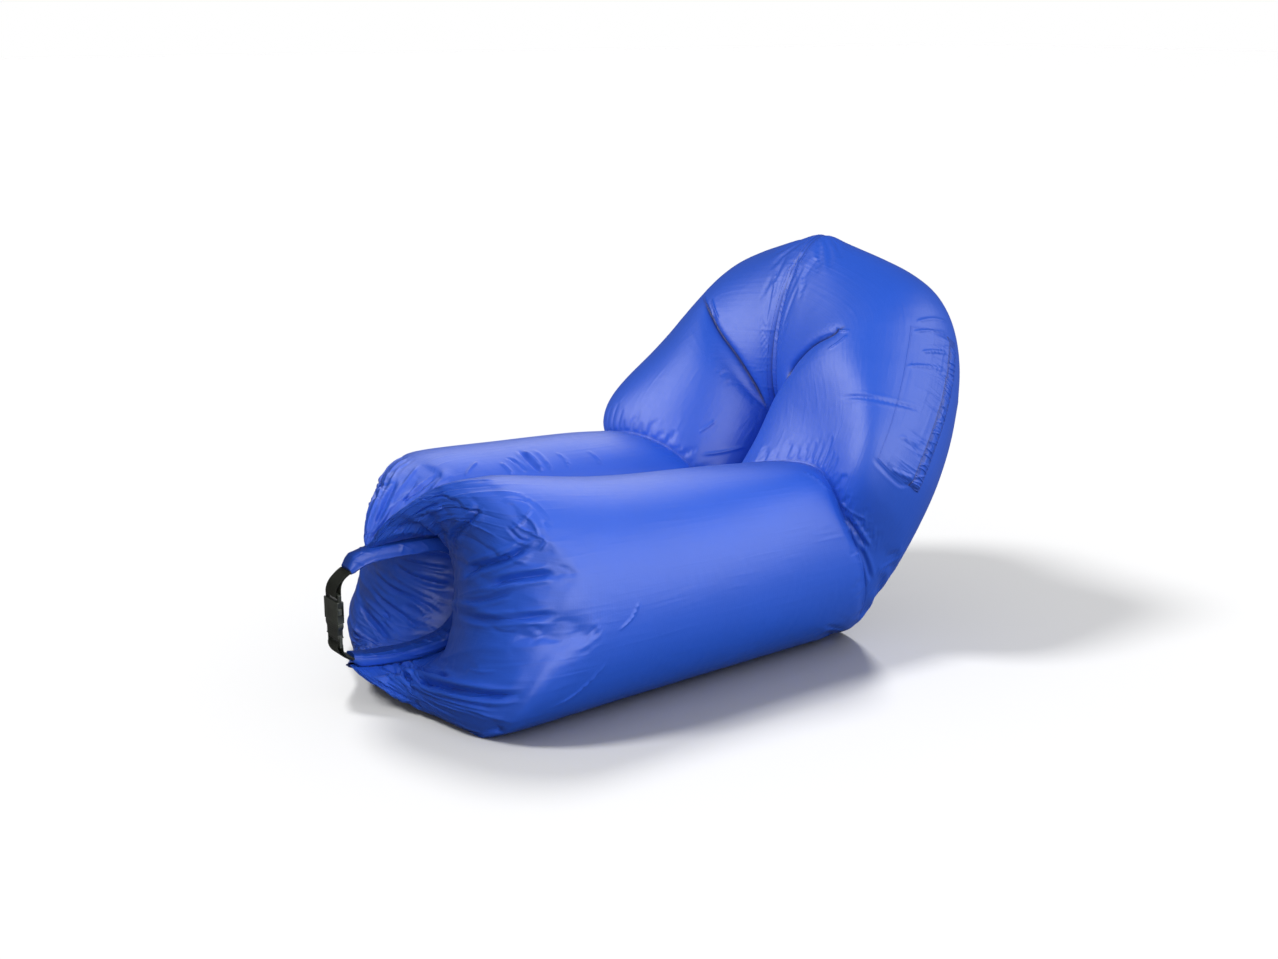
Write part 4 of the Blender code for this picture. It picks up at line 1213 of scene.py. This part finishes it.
buckle_plastic = make_moulded("moulded_black_nylon", "#20241f", "#5d6359", 0.40)
strip_plastic = make_moulded("grey_polythene_strip", "#8d9296", "#b4b8bb", 0.50)
for node, plastic in (("buckle_socket", buckle_plastic), ("buckle_plug", buckle_plastic),
                      ("plug_arm_right", buckle_plastic), ("plug_arm_left", buckle_plastic),
                      ("roll_stiffener", strip_plastic)):
    for slot in bpy.data.objects[node].material_slots:
        slot.material = plastic


# %% Grip ribs on both halves of the buckle
rib_height, rib_half_depth, rib_sink = 0.0005, 0.0006, 0.0001
rib_rings, rib_round = 9, 7


def grip_ribs(name, node, low_share, high_share, half_width, count, front):
    """Short rounded bars across a face of the buckle."""
    low, high = (np.array(corner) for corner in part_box(node))
    face_y = low[1] if front else high[1]
    out = -1.0 if front else 1.0
    points, faces = [], []
    for z in np.linspace(low[2] + (high[2] - low[2]) * low_share,
                         low[2] + (high[2] - low[2]) * high_share, count):
        start = len(points)
        for x in np.linspace(-half_width, half_width, rib_rings):
            narrow = math.sqrt(max(1 - (x / half_width) ** 6, 0.04))
            for angle in np.linspace(0, math.pi, rib_round):
                rise = rib_height * math.sin(angle) * narrow - rib_sink
                points.append((x, face_y + out * rise,
                               z + rib_half_depth * math.cos(angle) * narrow))
        for i in range(rib_rings - 1):
            for j in range(rib_round - 1):
                corner = start + i * rib_round + j
                face = (corner, corner + 1, corner + rib_round + 1, corner + rib_round)
                faces.append(face if front else face[::-1])
    return add_mesh(name, points, faces, buckle_plastic)


for face_name, front in (("front", True), ("rear", False)):
    ribs = grip_ribs("socket_grip_" + face_name, "buckle_socket", 0.14, 0.42, 0.013, 5, front)
    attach(ribs, "socket")
    ribs = grip_ribs("plug_grip_" + face_name, "buckle_plug", 0.34, 0.50, 0.012, 4, front)
    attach(ribs, "plug")
print("Buckle: socket, plug, two arms and grips")

# %% [markdown]
# ## Webbing
# The two straps are woven polypropylene. Each leaves the end of the roll, goes round the
# bar of its half of the buckle and comes back. The weft shows as fine ribs across, and
# both edges have a rounded selvedge. Both plies are stitched together near the roll.

# %% Webbing material
rib_mm = 1.5
webbing_black, tree, shader = new_material("woven_webbing_black", Base_Color=linear("#181b17"),
                                           Roughness=0.62, Sheen_Weight=0.15,
                                           Sheen_Roughness=0.4, Sheen_Tint=linear("#8f9a80"))
uv = cloth_metres(tree)
weave = calculated(tree, "MULTIPLY",
                   threads(tree, uv, rib_mm, "Y", Distortion=1.0, Detail=1.0),
                   threads(tree, uv, rib_mm, "X"))
feed(tree, shader,
     Base_Color=mixed_colours(tree, weave, linear("#0d0f0c"), linear("#2a2e26")),
     Normal=bumped(tree, weave, 0.6, 0.00025))

# %% The two straps
webbing_width, webbing_thickness = 0.038, 0.0015
ply_gap, root_gap, bar_gap = 0.0005, 0.0004, 0.0004
bar_length, frame_thickness = 0.0046, 0.0060
bend_share, part_share = 0.40, 0.30
strap_steps, loop_steps, strap_row_step = 41, 21, 0.0004
strap_profile = np.array([(0.0, 0.9), (0.5, 0.9), (0.86, 0.86), (0.93, 1.0), (0.98, 0.8),
                          (1.0, 0.0), (0.98, -0.8), (0.93, -1.0), (0.86, -0.86), (0.5, -0.9)])
loop_radius = math.hypot(frame_thickness, bar_length) / 2 + bar_gap + webbing_thickness / 2
buckle_y = float(np.mean([corner[1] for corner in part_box("buckle_socket")]))
socket_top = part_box("buckle_socket")[1][2]
plug_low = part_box("buckle_plug")[0][2]


def strap_path(root, beyond, bar_height):
    """From the roll's end, round the bar and back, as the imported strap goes."""
    leaving = unit(root - beyond)
    upward = math.copysign(1.0, bar_height - root[2])
    arriving = np.array([0.0, 0.0, upward])
    start, end = root + leaving * root_gap, np.array([0.0, buckle_y, bar_height])
    bend = bend_share * np.linalg.norm(end - start)
    near = (ply_gap + webbing_thickness) / 2
    middle, spread = [], []
    for t in np.linspace(0, 1, strap_steps):
        middle.append(start * (1 - t) ** 3 + 3 * (start + leaving * bend) * t * (1 - t) ** 2
                      + 3 * (end - arriving * bend) * t ** 2 * (1 - t) + end * t ** 3)
        spread.append(near + (loop_radius - near) * eased((t - part_share) / (1 - part_share)))
    middle = np.array(middle)
    heading = np.gradient(middle, axis=0)
    heading[0], heading[-1] = leaving, arriving
    beside = np.stack([0 * heading[:, 0], -heading[:, 2], heading[:, 1]], axis=1)
    beside /= np.linalg.norm(beside, axis=1)[:, None]
    spread = np.array(spread)[:, None]
    loop = [end + loop_radius * (beside[-1] * math.cos(a) + arriving * math.sin(a))
            for a in np.linspace(0, math.pi, loop_steps)[1:-1]]
    return np.array([*(middle + beside * spread), *loop, *(middle - beside * spread)[::-1]])


def strap(name, node, root, beyond, bar_height):
    coarse = strap_path(root, beyond, bar_height)
    length = path_lengths(coarse)[-1]
    even = np.linspace(0, length, int(length / strap_row_step))
    path = even_points(coarse, len(even))
    normals = outward(path)
    right = strap_profile * (webbing_width / 2, webbing_thickness / 2)
    bottom = np.array([[0.0, -0.9 * webbing_thickness / 2]])
    outline = np.concatenate([right, bottom, right[1:][::-1] * (-1, 1)])
    rib = 1 + 0.10 * np.cos(2 * math.pi * even * 1000 / rib_mm)[:, None]
    profile = np.stack([np.repeat(outline[None, :, 0], len(path), axis=0),
                        outline[None, :, 1] * rib], axis=-1)
    rows = sweep(path, normals, profile)
    columns = rows.shape[1]
    piece = add_mesh(name, rows.reshape(-1, 3), closed_faces(*rows.shape[:2]), webbing_black)
    fill_uv(piece, even, np.linspace(0, 2 * webbing_width, columns + 1))
    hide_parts(node)
    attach(piece, "lounger")
    return piece, path, normals


path = ring_path()
upper_path, upper_normals = strap(
    "webbing_upper", "webbing_tab_upper", path[0], path[1], socket_top - bar_length / 2)[1:]
lower_strap, lower_path, lower_normals = strap(
    "webbing_lower", "webbing_tab_lower", path[-1], path[-2], plug_low + bar_length / 2)
low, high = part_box("webbing_tab_lower")
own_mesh(lower_strap)
print("Webbing:", round(path_lengths(upper_path)[-1] * 1000), "mm in the upper strap and",
      round(path_lengths(lower_path)[-1] * 1000), "mm in the lower one")

# %% [markdown]
# ## The pocket
# A flat pocket is sewn to the near side of the back. Its mouth is closed by an elastic in
# a narrow hem, which gathers the cloth into sharp puckers. Both pieces are made from the
# same rows and columns as the bag under them, so they follow it closely.

# %% Rows and columns of the pocket
def fine_row(coarse):
    """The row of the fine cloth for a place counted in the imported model's rings."""
    if coarse <= hood_start:
        return mitre_row + (coarse - mitre) * 2 * fine_steps["back"][0]
    return hood_row + (coarse - hood_start) * 2 * fine_steps["hood"][0]


def skin_patch(skin, rows, columns, count):
    """A smooth grid of points and normals on the cloth between two rows and two columns."""
    normals = skin_normals(skin)
    row = np.linspace(*rows, count[0])
    column = np.linspace(*columns, count[1])
    low, left = row.astype(int), np.floor(column).astype(int)
    up, over = (row - low)[:, None, None], (column - left)[None, :, None]
    result = []
    for values in (skin, normals):
        corner = [[values[low + i][:, (left + j) % round_points] for j in (0, 1)] for i in (0, 1)]
        result.append((corner[0][0] * (1 - over) + corner[0][1] * over) * (1 - up)
                      + (corner[1][0] * (1 - over) + corner[1][1] * over) * up)
    return result


def smooth_window(position, start, end, blur):
    return eased(np.minimum(position - start, end - position) / blur)


def patch_lengths(points):
    """Metres down and across a grid of points, as two lists and as two grids."""
    lists = []
    for axis in (0, 1):
        steps = np.linalg.norm(np.diff(points, axis=axis), axis=2).mean(axis=1 - axis)
        lists.append(np.concatenate([[0], np.cumsum(steps)]))
    return *lists, *np.meshgrid(*lists, indexing="ij")


coarse_rows = [mitre + share * (crown - mitre) for share in (0.196, 0.536)]
pocket_rows = [fine_row(coarse) for coarse in coarse_rows]
mouth_column, seam_column = (share * round_points for share in (0.488, 0.571))
elastic_columns = round_points / 34
mouth_puckers, seam_puckers = 46, 12
pocket_gap, pocket_rise, mouth_rise, mouth_reach = 0.0006, 0.0014, 0.0035, 0.03
pocket_edge, rim_gap, pucker_height = 0.0005, 0.0002, 0.0012
hem_gap, hem_height, hem_rounding = 0.0008, 0.0030, 0.6
pocket_skin = skins["right"]

# %% The pocket panel
count = (330, 150)
points, normals = skin_patch(pocket_skin, pocket_rows, (mouth_column, seam_column), count)
down, over, down_grid, over_grid = patch_lengths(points)
pocket_length, pocket_depth = float(down[-1]), float(over[-1])
seam_fade = (smooth_window(down_grid, 0, pocket_length, 0.012)
             * smooth_window(over_grid, -pocket_depth, pocket_depth, 0.050))
lift = pocket_gap + seam_fade * (pocket_rise + mouth_rise * np.exp(-over_grid / mouth_reach))
chance = np.random.default_rng(91)
for _ in range(mouth_puckers):
    place, reach = chance.uniform(0, pocket_length), chance.uniform(0.012, 0.060)
    width, lean = chance.uniform(0.0014, 0.0028), chance.normal(0, 0.12)
    fade = np.exp(-(over_grid / reach) ** 2)
    lift += (chance.choice((pucker_height, -0.0008)) * chance.uniform(0.4, 1.0) * fade * seam_fade
             * crest((down_grid - place - lean * over_grid) / width))
for _ in range(seam_puckers):
    place, reach = chance.uniform(0, pocket_length), chance.uniform(0.008, 0.025)
    width, lean = chance.uniform(0.0016, 0.0030), chance.normal(0, 0.3)
    fade = np.exp(-((pocket_depth - over_grid) / reach) ** 2)
    lift += (pucker_height * fade * seam_fade
             * crest((down_grid - place - lean * over_grid) / width))
lift = np.maximum(lift, pocket_edge)
pocket_points = points + normals * lift[..., None]
rim = points + normals * rim_gap
rows_all = np.concatenate([rim[:1], pocket_points, rim[-1:]])
rows_all = np.concatenate([rows_all[:, :1], rows_all, rows_all[:, -1:]], axis=1)
rows_all[1:-1, -1] = rim[:, -1]
faces = grid_faces(*rows_all.shape[:2], closed=False)
pocket = add_mesh("pocket_cloth", rows_all.reshape(-1, 3), faces, ripstop)
fill_uv(pocket, np.concatenate([[down[0]], down, [down[-1]]]),
        np.concatenate([[over[0]], over, [over[-1]]]))
slack = np.zeros(rows_all.shape[:2])
slack[1:-1, 1:-1] = 0.25 + 0.6 * np.exp(-over_grid / mouth_reach)
fill_attribute(pocket, "slack", slack)
# Painted shade: a dark line on the pocket along its mouth, where the hem lies over it.
shade = np.zeros(rows_all.shape[:2])
shade[1:-1, 1:-1] = 0.7 * np.exp(-(over_grid / 0.0016) ** 2)
fill_attribute(pocket, "seam_shade", shade)
pocket_seams = [(pocket_points[5, 4:-4], normals[5, 4:-4]),
                (pocket_points[-6, 4:-4], normals[-6, 4:-4]),
                (pocket_points[5:-5, -5], normals[5:-5, -5])]
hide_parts("pocket_panel")
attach(pocket, "lounger")

# %% The elastic hem of its mouth
count = (760, 26)
points, normals = skin_patch(pocket_skin, pocket_rows,
                             (mouth_column - elastic_columns, mouth_column), count)
down, over, down_grid, over_grid = patch_lengths(points)
arch = np.sin(np.linspace(0, math.pi, count[1]))[None, :] ** hem_rounding
lift = hem_gap + hem_height * arch * smooth_window(down_grid, 0, pocket_length, 0.006)
place = 0.0
while place < pocket_length:
    width, lean = chance.uniform(0.0012, 0.0022), chance.normal(0, 0.25)
    bow = 0.0020 * np.sin(over_grid / over[-1] * chance.uniform(2, 5) + chance.uniform(0, 6))
    lift += (chance.uniform(0.0012, 0.0030) * arch
             * crest((down_grid - place - lean * over_grid - bow) / width))
    place += chance.uniform(0.0045, 0.0105)
hem_points = points + normals * lift[..., None]
closed = np.concatenate([hem_points, points[:, ::-1] + normals[:, ::-1] * 0.0004], axis=1)
faces = [face[::-1] for face in closed_faces(*closed.shape[:2])]
hem = add_mesh("pocket_elastic_hem", closed.reshape(-1, 3), faces, ripstop)
fill_uv(hem, down * 1.6, np.linspace(0, 2 * over[-1], closed.shape[1] + 1))
fill_attribute(hem, "slack", np.full(closed.shape[:2], 1.0))
# Painted shade: dark along the hem's edge by the pocket, and darker where the hem lies low
# between its pleats.
shade = 0.9 * np.exp(-((over[-1] - over_grid) / 0.0022) ** 2) + 0.35 * (lift < 0.0036)
fill_attribute(hem, "seam_shade", np.concatenate([np.clip(shade, 0, 1), 0 * shade], axis=1))
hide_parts("pocket_elastic")
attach(hem, "lounger")
pocket_seams += [(hem_points[4:-4, column], normals[4:-4, column]) for column in (4, -5)]
print("Pocket:", round(pocket_length * 1000), "by", round(pocket_depth * 1000), "mm")

# %% [markdown]
# ## Stitches
# Every seam is closed with a row of stitches. A Geometry Nodes tree turns a line on the
# cloth into a curve, cuts it into even steps and lays one stitch on each step, turned
# along the line. The mitre has a row on both sides, the crown one, and the pocket one
# along each edge. The straps are held at the roll by rows of stitches right across.

# %% A tree that sews along a line
def sewing_tree():
    tree = bpy.data.node_groups.new("sewing", "GeometryNodeTree")
    sockets = {}
    tree.interface.new_socket("Line", in_out="INPUT", socket_type="NodeSocketGeometry")
    for name, kind in (("Pitch", "Float"), ("Length", "Float"), ("Thickness", "Float"),
                       ("Seed", "Int"), ("Thread", "Material")):
        sockets[name] = tree.interface.new_socket(
            name, in_out="INPUT", socket_type="NodeSocket" + kind).identifier
    tree.interface.new_socket("Stitches", in_out="OUTPUT", socket_type="NodeSocketGeometry")
    given = tree.nodes.new("NodeGroupInput").outputs
    curve = add_node(tree, "GeometryNodeMeshToCurve", {"Mesh": given["Line"]}).outputs[0]
    steps = add_node(tree, "GeometryNodeResampleCurve",
                     {"Curve": curve, "Length": given["Pitch"]}, mode="LENGTH").outputs[0]
    ball = add_node(tree, "GeometryNodeMeshUVSphere",
                    {"Segments": 6, "Rings": 4, "Radius": 0.5}).outputs["Mesh"]
    shape = add_node(tree, "ShaderNodeCombineXYZ",
                     {"X": given["Length"], "Y": given["Thickness"],
                      "Z": given["Thickness"]}).outputs["Vector"]
    stitch = add_node(tree, "GeometryNodeTransform",
                      {"Geometry": ball, "Scale": shape}).outputs["Geometry"]
    tangent = add_node(tree, "GeometryNodeInputTangent").outputs["Tangent"]
    turned = add_node(tree, "FunctionNodeAlignRotationToVector", {"Vector": tangent},
                      axis="X").outputs["Rotation"]
    uneven = add_node(tree, "FunctionNodeRandomValue",
                      {"Min": 0.85, "Max": 1.15, "Seed": given["Seed"]}, data_type="FLOAT")
    sewn = add_node(tree, "GeometryNodeInstanceOnPoints",
                    {"Points": steps, "Instance": stitch, "Rotation": turned,
                     "Scale": uneven.outputs["Value"]}).outputs["Instances"]
    real = add_node(tree, "GeometryNodeRealizeInstances", {"Geometry": sewn}).outputs["Geometry"]
    done = add_node(tree, "GeometryNodeSetMaterial",
                    {"Geometry": real, "Material": given["Thread"]}).outputs["Geometry"]
    tree.links.new(done, tree.nodes.new("NodeGroupOutput").inputs["Stitches"])
    return tree, sockets


sewing, sewing_sockets = sewing_tree()
faces_per_stitch = 24
# pitch, length and thickness of the stitches, in metres
bag_stitch = (0.0036, 0.0029, 0.0007)
pocket_stitch = (0.0034, 0.0027, 0.0007)
strap_stitch = (0.0026, 0.0021, 0.0006)
mitre_seam_allowance, crown_seam_allowance = 0.004, 0.012
strap_row_places, strap_row_half_width = (0.005, 0.008, 0.011), 0.0155


def sew(name, lines, pitch, length, thickness, seed, thread):
    """Rows of stitches along lines of points; each line comes with its normals."""
    points, edges = [], []
    for line, normals in lines:
        edges += [(len(points) + i, len(points) + i + 1) for i in range(len(line) - 1)]
        raised_line = line + normals * thickness * 0.3
        raised_line[:, 2] = np.maximum(raised_line[:, 2], thickness * 0.6)
        points += raised_line.tolist()
    mesh = bpy.data.meshes.new(name + "_line")
    mesh.from_pydata(points, edges, [])
    guide = in_scene(name + "_line", mesh)
    modifier = guide.modifiers.new("sewing", "NODES")
    modifier.node_group = sewing
    for socket, value in (("Pitch", pitch), ("Length", length), ("Thickness", thickness),
                          ("Seed", seed), ("Thread", thread)):
        modifier[sewing_sockets[socket]] = value
    evaluated = guide.evaluated_get(bpy.context.evaluated_depsgraph_get())
    stitches = bpy.data.meshes.new_from_object(evaluated)
    stitches.name = name
    stitches.shade_smooth()
    guide.modifiers.remove(modifier)
    bpy.data.objects.remove(guide)
    print(name + ":", len(stitches.polygons) // faces_per_stitch, "stitches")
    return in_scene(name, stitches)


# %% The lines to sew
def line_beside(skin, normals, row, distance):
    """A line round the bag at some distance before or behind a row, with its normals."""
    along = lengths_along(skin)
    target = along[row] + distance
    place = np.array([np.interp(goal, lengths, np.arange(len(lengths)))
                      for goal, lengths in zip(target, along.T)])
    low = np.minimum(place.astype(int), len(skin) - 2)
    share = (place - low)[:, None]
    columns = np.arange(skin.shape[1])
    line, out = (values[low, columns] * (1 - share) + values[low + 1, columns] * share
                 for values in (skin, normals))
    return [np.concatenate([values, values[:1]]) for values in (line, out)]


thread_blue = new_material("blue_polyester_thread", Base_Color=linear("#2054c8"),
                           Roughness=0.5, Sheen_Weight=0.2)[0]
thread_black = new_material("black_polyester_thread", Base_Color=linear("#1c1f1b"),
                            Roughness=0.5)[0]
bag_seams = []
for side, skin in skins.items():
    normals = skin_normals(skin)
    for row, distance in ((mitre_row, -mitre_seam_allowance), (mitre_row, mitre_seam_allowance),
                          (crown_row, -crown_seam_allowance)):
        bag_seams.append(line_beside(skin, normals, row, distance))
bag_stitches = sew("seam_stitches", bag_seams, *bag_stitch, 5, thread_blue)
pocket_stitches = sew("pocket_stitches", pocket_seams, *pocket_stitch, 6, thread_blue)
for piece in (bag_stitches, pocket_stitches):
    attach(piece, "lounger")


def strap_rows(path, normals):
    """Three rows of stitches across both outer faces of a strap, near the roll."""
    lengths = path_lengths(path)
    rows = []
    for distance in strap_row_places:
        for place in (distance, lengths[-1] - distance):
            index = int(np.searchsorted(lengths, place))
            across = np.outer(np.linspace(-strap_row_half_width, strap_row_half_width, 12),
                              (1.0, 0.0, 0.0))
            line = path[index] + normals[index] * webbing_thickness / 2 + across
            rows.append((line, np.repeat(normals[index][None, :], len(line), axis=0)))
    return rows


for name, path, normals in (("upper", upper_path, upper_normals),
                            ("lower", lower_path, lower_normals)):
    piece = sew("strap_stitches_" + name, strap_rows(path, normals), *strap_stitch, 7,
                thread_black)
    if name == "lower":
        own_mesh(piece)
    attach(piece, "lounger")

# %% [markdown]
# ## Floor and light
# The photograph is a studio picture cut out on white, with soft shadows left in. Very wide
# suns stand for the softboxes, because they light a large floor evenly. They were placed
# by the shading of the bags: most light comes from the right, low and a little behind. The
# world and the floor are white to the camera alone, and send little light on to the bags,
# as in the photograph, where the underside of the bags is deep blue. The shadows fall to the
# right and to the front, as in any cut-out with added shadows. So the floor has lamps of
# its own, and the front shadow is thrown by the seat alone. Flags keep the front softbox
# off the seat and the cheeks, and the rear one and the ceiling's light off the back.

# %% Floor, lamps and world
def switch_by_ray(tree, ray, others, for_ray):
    """Mixes two shaders: the second one for one kind of ray, the first for the others."""
    kind = add_node(tree, "ShaderNodeLightPath").outputs[ray]
    return add_node(tree, "ShaderNodeMixShader",
                    {0: kind, 1: others, 2: for_ray}).outputs["Shader"]


floor_reach, floor_drop = 40.0, 0.0005
floor_mesh = bpy.data.meshes.new("floor")
floor_mesh.from_pydata([(x * floor_reach, y * floor_reach, 0)
                        for x, y in ((-1, -1), (1, -1), (1, 1), (-1, 1))], [], [(0, 1, 2, 3)])
floor = in_scene("floor", floor_mesh)
floor.location.z = -floor_drop
floor_material, tree, shader = new_material("pale_floor", Base_Color=linear("#d8d8d8"),
                                            Roughness=0.95)
dim = add_node(tree, "ShaderNodeBsdfDiffuse", {"Color": linear("#5a5958")}).outputs["BSDF"]
mixed = switch_by_ray(tree, "Is Camera Ray", dim, shader.outputs["BSDF"])
tree.links.new(mixed, tree.nodes["Material Output"].inputs["Surface"])
floor_mesh.materials.append(floor_material)


def add_sun(name, receivers, toward, spread_degrees, strength, blockers=None, gloss=True):
    data = bpy.data.lights.new(name, "SUN")
    data.angle, data.energy = math.radians(spread_degrees), strength
    lamp = in_scene(name, data)
    lamp.rotation_mode = "QUATERNION"
    lamp.rotation_quaternion = Vector(toward).to_track_quat("Z", "Y")
    lamp.light_linking.receiver_collection = receivers
    lamp.light_linking.blocker_collection = blockers
    lamp.visible_glossy = gloss


lit = {name: bpy.data.collections.new(name + "_lit")
       for name in ("lounger", "upper", "lower", "floor")}
seat_blocks = bpy.data.collections.new("throws_the_front_shadow")
for piece in bpy.context.scene.objects:
    if piece is floor:
        lit["floor"].objects.link(piece)
    elif piece.type == "MESH":
        lit["lounger"].objects.link(piece)
        if piece.name.startswith(("back_cloth_", "hood_cloth_", "pocket_", "crown_")):
            lit["upper"].objects.link(piece)
        elif piece.name != "rolled_mouth":
            lit["lower"].objects.link(piece)
        if piece.name.startswith(("cheek_cloth_", "seat_cloth_")):
            seat_blocks.objects.link(piece)
add_sun("softbox_right_rear", lit["lounger"], (0.64, 0.62, 0.45), 55, 1.5)
add_sun("softbox_right", lit["lounger"], (0.93, -0.22, 0.30), 60, 2.3)
add_sun("softbox_front", lit["upper"], (-0.35, -0.80, 0.45), 50, 2.5)
add_sun("softbox_left_rear", lit["lower"], (-0.58, 0.55, 0.60), 45, 1.0)
add_sun("ceiling_bounce", lit["lower"], (0.0, -0.15, 1.00), 60, 1.3, gloss=False)
add_sun("floor_shadow_right", lit["floor"], (-0.45, -0.90, 1.22), 14, 2.2)
add_sun("floor_shadow_front", lit["floor"], (-0.65, 0.30, 1.00), 16, 1.9, seat_blocks)
add_sun("floor_top", lit["floor"], (0.0, 0.0, 1.0), 140, 1.1)
world = bpy.data.worlds.new("studio")
world.use_nodes = True
tree = world.node_tree
white = add_node(tree, "ShaderNodeBackground", {"Color": linear("#ffffff"), "Strength": 1.0})
room = tree.nodes["Background"]
room.inputs["Color"].default_value = linear("#f8f8f8")
room.inputs["Strength"].default_value = 0.10
mixed = switch_by_ray(tree, "Is Camera Ray", room.outputs["Background"],
                      white.outputs["Background"])
tree.links.new(mixed, tree.nodes["World Output"].inputs["Surface"])
bpy.context.scene.world = world
bpy.context.scene.view_settings.view_transform = "Standard"
